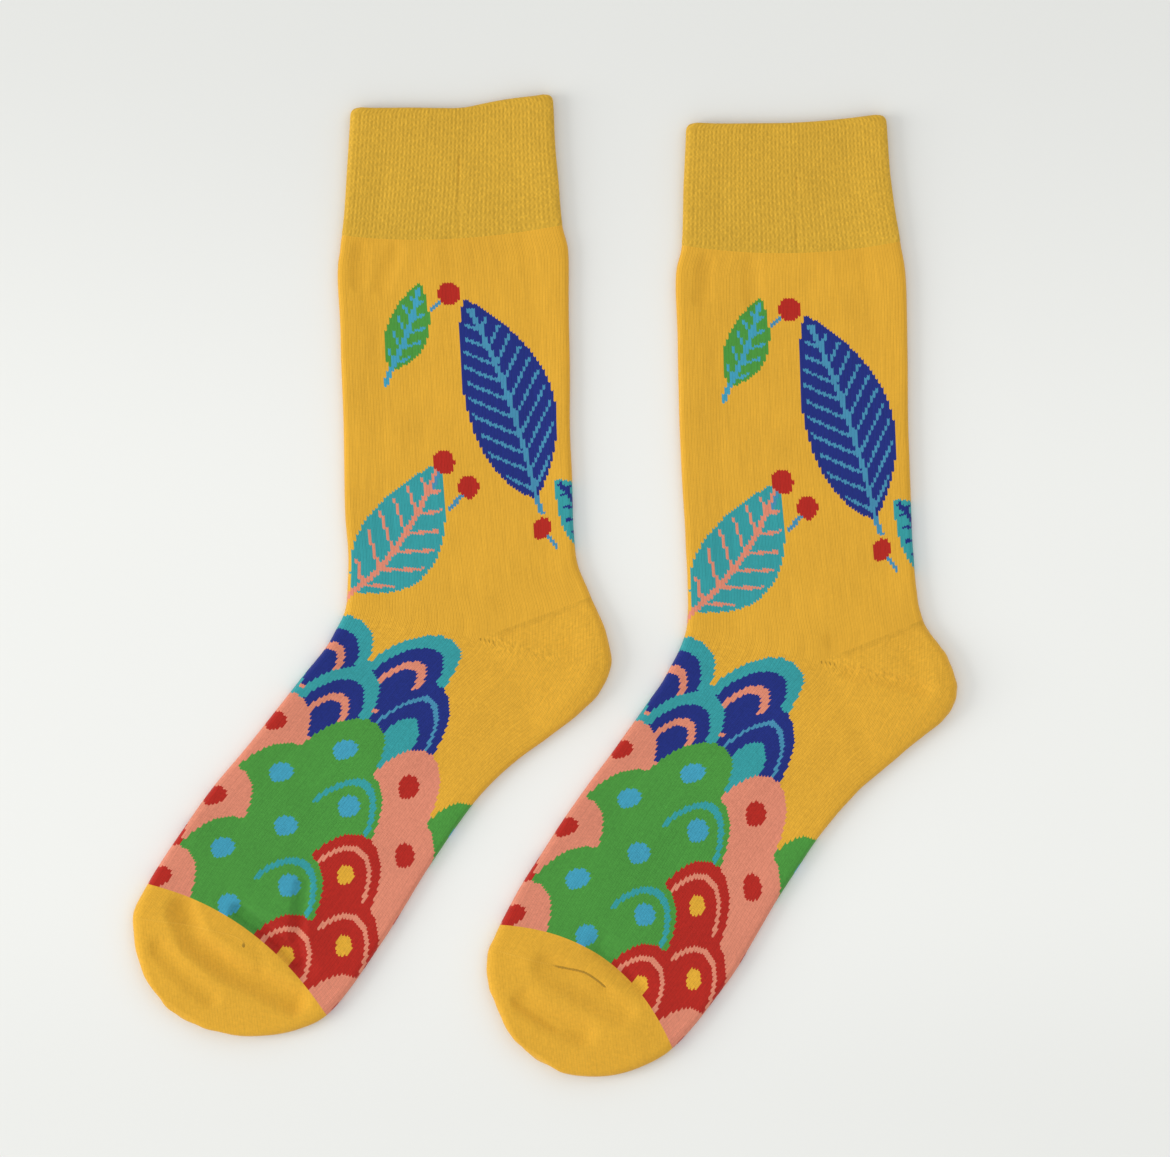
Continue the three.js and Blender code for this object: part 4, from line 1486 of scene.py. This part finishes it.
@dataclass
class KnittedPiece:
    """One knitted piece of a sock: how it is laid out, built, coloured and declared."""

    surface: SockSurface
    wardrobe: Wardrobe
    part: Part
    start: float
    end: float
    courses: int
    inner_courses: int
    flat: tuple[float, float]
    area: float | None = None
    past: bool = False  # whether it lies below the heel pocket
    art: tuple[Leaf | Berry | Scallops, ...] = ()
    columns: int = GAUGE.around
    first_column: float = 0.0  # column of the loop at which it starts
    halves: int = 1  # faces across one wale
    ground: Colour = Colour.GOLD
    piece: bpy.types.Object | None = field(default=None, init=False)

    @property
    def name(self) -> str:
        """Name of the CAD node that the piece stands for."""
        return f"{self.surface.pattern.name}_{self.part.value}"

    def row_plan(self) -> tuple[np.ndarray, np.ndarray]:
        """Lists the rows of the wall: down the outside, up the inside and back to the start.

        Returns:
            How far down the piece each row lies, from 0 to 1, and how far it is inset.
        """
        outside = np.linspace(0, 1, self.courses + 1)
        inside = np.linspace(1, 0, self.inner_courses + 1)
        share = np.concatenate([outside, inside, outside[:1]])
        inset = np.concatenate([np.zeros(len(outside)), np.full(len(inside), GAUGE.wall), [0.0]])
        return share, inset

    def course_of(self, share: np.ndarray) -> Courses:
        """Makes the courses of the rows."""
        return self.surface.tube(self.surface.even_rows(self.start, self.end, share, self.past), self.past)

    def stretches(self, grid: Grid) -> tuple[np.ndarray, np.ndarray]:
        """Gives the stretch of the loop that each point is on, and how far along it lies."""
        return loop_places(grid.column / self.halves + self.first_column, GAUGE.side, GAUGE.fold)

    def lay(self, grid: Grid, row_share: np.ndarray, inset: np.ndarray) -> np.ndarray:
        """Finds the place of each point of the grid.

        Args:
            grid: the grid.
            row_share: how far down the piece each row lies.
            inset: inset of each row.

        Returns:
            The places in millimetres.
        """
        courses = self.course_of(np.concatenate([row_share, self.raised(row_share, inset)]))
        widths = self.surface.widths(courses)
        zone, share = self.stretches(grid)
        index = grid.row + len(row_share) * (grid.column % self.halves == 0)
        flat = np.zeros(len(grid.row))
        return self.surface.points(courses.take(index), widths[index], zone, share, inset[grid.row], flat)

    def raised(self, row_share: np.ndarray, inset: np.ndarray) -> np.ndarray:
        """Gives where each row lies between two wales, where the legs of its stitches reach highest."""
        inner = (inset == 0) & (row_share > 0) & (row_share < 1) & (self.halves == 2)
        return row_share - inner * SLANT / self.courses

    def stitch_uv(self, grid: Grid, row_share: np.ndarray, inset: np.ndarray,
                  places: np.ndarray) -> np.ndarray:
        """Gives each corner its wale and course.

        Args:
            grid: the grid.
            row_share: how far down the piece each row lies.
            inset: inset of each row.
            places: the place of each point.

        Returns:
            Wale and course of each face corner.
        """
        column = grid.column[grid.corner_vertex]
        row = grid.row[grid.corner_vertex]
        share = np.where(column % self.halves == 0, self.raised(row_share, inset)[row], row_share[row])
        return np.column_stack([column / self.halves, share * self.courses])

    def more_maps(self, grid: Grid, places: np.ndarray) -> None:
        """Adds the piece's other UV maps. Most pieces have none."""

    def material(self) -> bpy.types.Material:
        """Chooses the finish, which is named as the piece is."""
        return getattr(self.wardrobe, self.part.value)

    def build(self) -> None:
        """Builds the piece."""
        row_share, inset = self.row_plan()
        grid = Grid.make(self.name, self.columns * self.halves, len(row_share) - 1)
        places = self.lay(grid, row_share, inset)
        grid.lay(places)
        grid.write_uv("stitches", self.stitch_uv(grid, row_share, inset, places))
        self.more_maps(grid, places)
        self.piece = close_and_place(grid, f"{self.name}_knit")

    def dress(self) -> None:
        """Colours each stitch of the piece and gives it its finish."""
        mesh = self.piece.data
        uv = np.empty(len(mesh.loops) * 2, dtype=np.float32)
        mesh.uv_layers["stitches"].data.foreach_get("uv", uv)
        uv = uv.reshape(-1, 2)
        sizes = np.empty(len(mesh.polygons), dtype=int)
        mesh.polygons.foreach_get("loop_total", sizes)
        face = np.repeat(np.arange(len(sizes)), sizes)
        column, row = (np.bincount(face, uv[:, i]) / sizes for i in range(2))
        lean = np.abs(column % 1 - 0.5) * 2 * (self.halves - 1)
        chart = Canvas(np.floor(column) + 0.5, np.floor(row + SLANT * lean) + 0.5, self.ground)
        for motif in self.art:
            motif.paint(chart)
        layer = mesh.color_attributes.new("yarn", "FLOAT_COLOR", "CORNER")
        layer.data.foreach_set("color", chart.colours()[face].ravel())
        mesh.materials.append(self.material())

    def sew(self) -> tuple[bpy.types.Object, ...]:
        """Sews the piece's own seams. Most pieces have none."""
        return ()

    def declare(self, with_pieces: tuple[bpy.types.Object, ...]) -> None:
        """Attaches the piece to the root body and hides the CAD part that it stands for.

        Args:
            with_pieces: the seams sewn on it; not used.
        """
        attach(self.piece, "root")
        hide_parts(self.name)


class Cuff(KnittedPiece):
    """The turned, double cuff with real ribs and a rounded mouth."""

    PITCH = 1.05  # millimetres per course
    CORNER = 3.0  # radius of the mouth's corners in the plan
    MOUTH_ROWS = (0.0, 0.25, 0.6, 1.1, 1.8, 2.6)  # closer rows at the mouth, in millimetres
    FIRST_ROW = 3.5  # where the even rows start
    RIB_ENDS = (0.03, 0.025)  # shares of the length over which the ribs rise and fall
    RIB_POWER = 0.45  # below 1 the ribs are round and the gaps between them narrow

    @property
    def length(self) -> float:
        """Length of the cuff in millimetres."""
        return self.courses * self.PITCH

    def row_plan(self) -> tuple[np.ndarray, np.ndarray]:
        """Lists the rows: down the outside, up the inside and over the rounded mouth.

        Returns:
            How far down the cuff each row lies, from 0 to 1, and how far it is inset.
        """
        near = np.array(self.MOUTH_ROWS) / self.length
        outside = np.concatenate([near, np.linspace(self.FIRST_ROW / self.length, 1, self.courses - 3)])
        inside = np.concatenate([np.linspace(1, near[-1], self.inner_courses - 3), near[-2::-1]])
        share = np.concatenate([outside, inside, outside[:1]])
        inset = np.concatenate([np.zeros(len(outside)), np.full(len(inside), GAUGE.cuff_wall), [0.0]])
        half = GAUGE.cuff_wall / 2
        to_middle = np.maximum(0, half - share * self.length)
        round_in = half - np.sqrt(np.maximum(0, half**2 - to_middle**2))
        return share, np.where(inset > 0, inset - round_in, inset + round_in)

    def lay(self, grid: Grid, row_share: np.ndarray, inset: np.ndarray) -> np.ndarray:
        """Lays the ribs round the loop and shapes the mouth.

        Args:
            grid: the grid.
            row_share: how far down the cuff each row lies.
            inset: inset of each row.

        Returns:
            The places in millimetres.
        """
        courses = self.course_of(row_share)
        near = np.maximum(0, self.CORNER - row_share * self.length)
        drawn = (self.CORNER - np.sqrt(self.CORNER**2 - near**2))[:, None]
        way = unit(courses.back - courses.front)
        courses.front = courses.front + drawn * way
        courses.back = courses.back - drawn * way
        widths = self.surface.widths(courses)[grid.row]
        steps = GAUGE.steps_per_rib
        zone, along = loop_places(grid.column, GAUGE.ribs_side * steps, GAUGE.ribs_fold * steps)
        ridge = 0.5 - 0.5 * np.cos(2 * math.pi * grid.column / steps)
        down = row_share[grid.row]
        start, end = self.RIB_ENDS
        height = GAUGE.rib_height * smooth_step(down, 0, start) * smooth_step(1 - down, 0, end)
        inset = inset[grid.row]
        proud = np.where(inset < GAUGE.cuff_wall / 2, ridge**self.RIB_POWER * height, 0.0)
        places = self.surface.points(courses.take(grid.row), widths, zone, along, inset, proud)
        across = np.select(
            [zone == Zone.UPPER.value, zone == Zone.UNDER.value, zone == Zone.BACK_FOLD.value],
            [along, 1 - along, np.ones(len(along))], 0.0)
        rise = sum(s.rise * fade((across - s.centre) / s.reach) for s in self.surface.pattern.mouth)
        places[:, 1] += rise * (1 - down) ** 2
        return places

    def stitch_uv(self, grid: Grid, row_share: np.ndarray, inset: np.ndarray,
                  places: np.ndarray) -> np.ndarray:
        """Gives each corner its rib and its course.

        Args:
            grid: the grid.
            row_share: how far down the cuff each row lies.
            inset: inset of each row.
            places: the place of each point.

        Returns:
            Rib and course of each face corner.
        """
        column = grid.column[grid.corner_vertex] / GAUGE.steps_per_rib
        return np.column_stack([column, row_share[grid.row[grid.corner_vertex]] * self.courses])

    def material(self) -> bpy.types.Material:
        """Chooses the welt's finish."""
        return self.wardrobe.welt


class Heel(KnittedPiece):
    """The heel pocket: half loops that fan out from a point on each side."""

    FOLD_LENGTH = 5.0  # millimetres of cloth round the folded edge
    UNDER_LENGTH = 7.0  # what the wales of the underside are shifted by

    @property
    def point(self) -> np.ndarray:
        """The place that the pocket's rows fan out from."""
        return self.surface.middle.at(np.array([self.surface.ankle / self.surface.last]))[0]

    def course_of(self, share: np.ndarray) -> Courses:
        """Makes the courses of the fan."""
        return self.surface.heel(share)

    def stitch_uv(self, grid: Grid, row_share: np.ndarray, inset: np.ndarray,
                  places: np.ndarray) -> np.ndarray:
        """Runs the wales of the leg and of the foot on into the pocket, up to the line where they meet.

        Args:
            grid: the grid.
            row_share: how far down the pocket each row lies.
            inset: inset of each row.
            places: the place of each point.

        Returns:
            Wale and course of each face corner.
        """
        outward = self.outward(grid, places)[grid.corner_vertex]
        later = np.minimum(grid.corner_row + 1, len(row_share) - 1)
        upper = (row_share[grid.corner_row] + row_share[later]) / 2 < 0.5
        result = np.zeros((len(outward), 2))
        for chosen, past, away in ((upper, False, -STEP), (~upper, True, STEP)):
            ankle, beside = (self.surface.tube(np.array([self.surface.ankle + n]), past) for n in (0.0, away))
            across = (ankle.back[0] - self.point) / (GAUGE.side / 2)
            down = unit(self.point - beside.middle[0]) * GAUGE.course
            local = in_frame(outward, self.point, across, down)
            result[chosen] = local[chosen] + (GAUGE.side / 2, 0)
        return result

    def more_maps(self, grid: Grid, places: np.ndarray) -> None:
        """Adds a map of millimetres along the line where the pocket's rows meet, and aside from it.

        Args:
            grid: the grid.
            places: the place of each point.
        """
        surface = self.surface
        way = unit(surface.back_at(np.array([surface.ankle + 0.5 * surface.heel_rows]))[0] - self.point)
        away = places[grid.corner_vertex, :2] - self.point
        grid.write_uv("mitre", np.column_stack([away @ way, away @ np.array([-way[1], way[0]])]))

    def outward(self, grid: Grid, places: np.ndarray) -> np.ndarray:
        """Unrolls the folded edge: a place on it lies as far out as it is along the cloth.

        Args:
            grid: the grid.
            places: the place of each point.

        Returns:
            The unrolled places of the plan.
        """
        zone, share = self.stretches(grid)
        away = places[:, :2] - self.point
        length = np.maximum(np.linalg.norm(away, axis=1), 1e-6)
        round_fold = [share * self.FOLD_LENGTH, np.full(len(share), self.UNDER_LENGTH)]
        extra = np.select([zone == Zone.BACK_FOLD.value, zone == Zone.UNDER.value], round_fold, 0.0)
        return places[:, :2] + away / length[:, None] * extra[:, None]


class Toe(KnittedPiece):
    """The toe pocket, whose courses close in on its tip."""

    INNER_END = 1.6  # rows of the pattern between the tip and the last course of the hollow
    INNER_TIP = 1.1
    UNDERSIDE = 1.5  # height below which a face belongs to the underside
    BELOW_ACROSS = (1.0, -0.2)  # the ways of the wales and courses below the seam
    BELOW_DOWN = (0.1, -1.0)

    def row_plan(self) -> tuple[np.ndarray, np.ndarray]:
        """Lists the rows: down to the tip, and back from the end of the hollow.

        Returns:
            How far down the pocket each row lies, from 0 to 1, and how far it is inset.
        """
        shares = np.linspace(0, 1, 401)
        rows = self.surface.even_rows(self.start, self.end, shares, self.past)
        hollow = (self.end - self.INNER_END, self.end - self.INNER_TIP)
        hollow_end, hollow_tip = np.interp(hollow, rows, shares)
        outside = np.linspace(0, 1, self.courses + 1)
        inside = np.linspace(hollow_end, 0, self.inner_courses + 1)
        share = np.concatenate([outside, [hollow_tip], inside, outside[:1]])
        inset = np.concatenate([np.zeros(len(outside)), np.full(len(inside) + 1, GAUGE.wall), [0.0]])
        return share, inset

    def lay(self, grid: Grid, row_share: np.ndarray, inset: np.ndarray) -> np.ndarray:
        """Lays the loops and closes the two tips.

        Args:
            grid: the grid.
            row_share: how far down the pocket each row lies.
            inset: inset of each row.

        Returns:
            The places in millimetres.
        """
        places = super().lay(grid, row_share, inset)
        for row in (self.courses, self.courses + 1):
            course = self.course_of(row_share[row : row + 1])
            places[grid.row == row] = (*course.middle[0], course.edge[0] / 2)
        return places

    def stitch_uv(self, grid: Grid, row_share: np.ndarray, inset: np.ndarray,
                  places: np.ndarray) -> np.ndarray:
        """Runs the wales along the foot above the seam, and across the seam below it.

        Args:
            grid: the grid.
            row_share: how far down the pocket each row lies.
            inset: inset of each row.
            places: the place of each point.

        Returns:
            Wale and course of each face corner.
        """
        line, before = (self.surface.tube(np.array([self.start - n]), True) for n in (0.0, STEP))
        plan = places[grid.corner_vertex, :2]
        centre = places[grid.corner_vertex].reshape(-1, 4, 3).mean(axis=1)
        ends = np.array(self.surface.pattern.toe_seam)[[0, -1]]
        side = np.cross(ends[1] - ends[0], centre[:, :2] - ends[0])
        below = np.repeat((side < 0) & (centre[:, 2] >= self.UNDERSIDE), 4)[:, None]
        ways = (
            (unit(line.back[0] - line.front[0]), unit(line.middle[0] - before.middle[0])),
            (np.array(self.BELOW_ACROSS), np.array(self.BELOW_DOWN)),
        )
        above_uv, below_uv = (in_frame(plan, line.front[0], across * GAUGE.wale, down * GAUGE.course)
                              for across, down in ways)
        return np.where(below, below_uv, above_uv)

    def sew(self) -> tuple[bpy.types.Object, ...]:
        """Sews the seam that closes the pocket.

        Returns:
            The seam.
        """
        seam = ToeSeam(self.surface, self.wardrobe, self.piece)
        seam.build()
        seam.dress()
        return (seam.piece,)


@dataclass
class ToeSeam:
    """The sewn seam that closes the toe pocket: a narrow row of slanting stitches lying on it."""

    surface: SockSurface
    wardrobe: Wardrobe
    toe: bpy.types.Object
    width: float = 0.75
    height: float = 0.24
    sunk: float = 0.18
    taper: float = 1.4  # length of its pointed ends
    swelling: float = 0.6  # how much thicker the thread is where the seam is drawn in
    drawing: float = 4.0  # length over which it is drawn in
    turn: float = 0.62  # length of seam that one turn of thread takes
    beads: float = 0.14  # how much single stitches stand out
    bead_length: float = 1.25
    rows: int = 150
    columns: int = 10
    piece: bpy.types.Object | None = field(default=None, init=False)

    LOOK_FROM = 0.05  # height in metres from which the toe is looked for
    USUAL_HEIGHT = 3.0  # millimetres, taken where the toe isn't met

    def build(self) -> None:
        """Builds the row of stitches."""
        name = f"{self.surface.pattern.name}_toe_seam"
        grid = Grid.make(name, self.columns, self.rows)
        share = np.linspace(0, 1, self.rows + 1)
        plan = SmoothLine(list(self.surface.pattern.toe_seam)).at(share)
        mesh = self.toe.data
        tree = BVHTree.FromPolygons([v.co for v in mesh.vertices], [tuple(p.vertices) for p in mesh.polygons])
        height = np.array([self.lying(tree, place) for place in plan])
        way = unit(np.gradient(plan, axis=0))
        side = np.column_stack([-way[:, 1], way[:, 0]])
        length = np.linalg.norm(np.diff(plan, axis=0), axis=1).sum()
        run = share * length
        taper = np.sqrt(np.clip(np.minimum(run, length - run) / self.taper, 0, 1))
        drawn_in = self.surface.pattern.seam_drawn_in
        pulled = 1 + self.swelling * smooth_step(run, drawn_in, drawn_in + self.drawing)
        thick = taper * pulled * (1 + self.beads * np.sin(2 * math.pi * run / self.bead_length))
        angle = grid.column / self.columns * 2 * math.pi
        row = grid.row
        out = np.cos(angle) * self.width / 2 * thick[row]
        up = np.sin(angle) * self.height / 2 * thick[row] + self.height / 2 - self.sunk
        grid.lay(np.column_stack([plan[row] + side[row] * out[:, None], height[row] + up]))
        corner = grid.corner_vertex
        turns = (run[row[corner]] - drawn_in) / self.turn
        grid.write_uv("stitches", np.column_stack([grid.column[corner] / self.columns, turns]))
        self.piece = close_and_place(grid, name)

    def lying(self, tree: BVHTree, place: np.ndarray) -> float:
        """Finds how high the toe is below a place of the plan, in millimetres."""
        hit = tree.ray_cast(Vector((place[0] * MM, place[1] * MM, self.LOOK_FROM)), Vector((0, 0, -1)))[0]
        return hit.z / MM if hit else self.USUAL_HEIGHT

    def dress(self) -> None:
        """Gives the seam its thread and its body."""
        self.piece.data.materials.append(self.wardrobe.seam)
        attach(self.piece, "root")


@dataclass
class Sock:
    """One whole sock."""

    pattern: SockPattern
    wardrobe: Wardrobe

    def build(self) -> None:
        """Builds, dresses, sews and declares all its pieces."""
        surface = SockSurface(self.pattern)
        both = {"surface": surface, "wardrobe": self.wardrobe}
        cuff_end, ankle, toe_start = float(surface.cuff_end), float(surface.ankle), float(surface.toe_start)
        pieces = (
            Cuff(**both, part=Part.CUFF, start=0.0, end=cuff_end, courses=48, inner_courses=16,
                 columns=GAUGE.ribs_around * GAUGE.steps_per_rib, flat=(0.172, 0.052), ground=Colour.WELT),
            KnittedPiece(**both, part=Part.LEG, start=cuff_end, end=ankle, courses=172, inner_courses=43,
                         halves=2, art=LEG_ART, flat=(0.184, 0.149)),
            Heel(**both, part=Part.HEEL, start=0.0, end=1.0, courses=100, inner_courses=26,
                 columns=GAUGE.side + GAUGE.fold, first_column=GAUGE.side / 2, flat=(0.105, 0.08),
                 area=0.0042),
            KnittedPiece(**both, part=Part.FOOT, start=ankle, end=toe_start, courses=176, inner_courses=44,
                         past=True, halves=2, art=FOOT_ART, flat=(0.184, 0.142)),
            Toe(**both, part=Part.TOE, start=toe_start, end=float(surface.last), courses=54, inner_courses=14,
                past=True, flat=(0.184, 0.05), area=0.0062),
        )
        for piece in pieces:
            piece.build()
            piece.dress()
            piece.declare(piece.sew())
            log.info("%s: %d faces", piece.piece.name, len(piece.piece.data.polygons))


@dataclass(frozen=True)
class Studio:
    """The pale table, the soft light from the left and the camera straight above."""

    centre: Point = (15.69, 2.55)
    across: float = 458.8
    distance: float = 3.0
    sensor: float = 36.0
    table_half: float = 2.0
    table_gap: float = 0.05 * MM
    room: float = 0.79  # strength of the light from all round

    def camera(self) -> None:
        """Sets up the camera, which looks straight down with the cuffs at the top."""
        data = bpy.data.cameras.new("camera")
        data.sensor_width = self.sensor
        data.lens = self.sensor * self.distance / (self.across * MM)
        data.clip_end = 20.0
        data.dof.use_dof = False
        camera = bpy.data.objects.new("camera", data)
        camera.location = (self.centre[0] * MM, self.centre[1] * MM, self.distance)
        put_in_scene(camera)
        bpy.context.scene.camera = camera

    def table(self) -> None:
        """Lays the pale table under the socks."""
        bm = bmesh.new()
        bmesh.ops.create_grid(bm, x_segments=8, y_segments=8, size=self.table_half)
        mesh = bpy.data.meshes.new("table")
        bm.to_mesh(mesh)
        bm.free()
        table = bpy.data.objects.new("table", mesh)
        table.location = (0.0, 0.0, -self.table_gap)
        put_in_scene(table)
        mesh.materials.append(PaleTable().build())

    def light(self, name: str, place: Place, size: float, power: float,
              colour: tuple[float, float, float]) -> None:
        """Adds a soft square light that points at the socks.

        Args:
            name: its name.
            place: where it stands, in metres.
            size: width of its face in metres.
            power: its power in watts.
            colour: its colour in linear light.
        """
        data = bpy.data.lights.new(name, "AREA")
        data.size = size
        data.energy = power
        data.color = colour
        lamp = bpy.data.objects.new(name, data)
        lamp.location = place
        lamp.rotation_euler = (-Vector(place)).to_track_quat("-Z", "Y").to_euler()
        put_in_scene(lamp)

    def build(self) -> None:
        """Sets up everything that isn't part of the pair."""
        self.camera()
        self.table()
        self.light("window", (-3.95, -0.45, 1.6), 2.3, 105.0, (1.0, 0.995, 0.985))
        self.light("fill", (1.8, 2.0, 2.4), 2.4, 11.5, (0.97, 0.985, 1.0))
        world = bpy.data.worlds.new("room")
        world.use_nodes = True
        sky = world.node_tree.nodes["Background"]
        sky.inputs[0].default_value = (0.98, 0.99, 1.0, 1.0)
        sky.inputs[1].default_value = self.room
        scene = bpy.context.scene
        scene.world = world
        scene.view_settings.view_transform = "Standard"
        scene.view_settings.look = "None"


def main() -> None:
    """Builds the scene."""
    logging.basicConfig(level=logging.INFO, format="%(message)s")
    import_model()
    Studio().build()
    log.info("studio ready")
    wardrobe = Wardrobe.make()
    for pattern in (LEFT, RIGHT):
        Sock(pattern, wardrobe).build()
        log.info("%s sock ready", pattern.name)


if __name__ == "__main__":
    main()
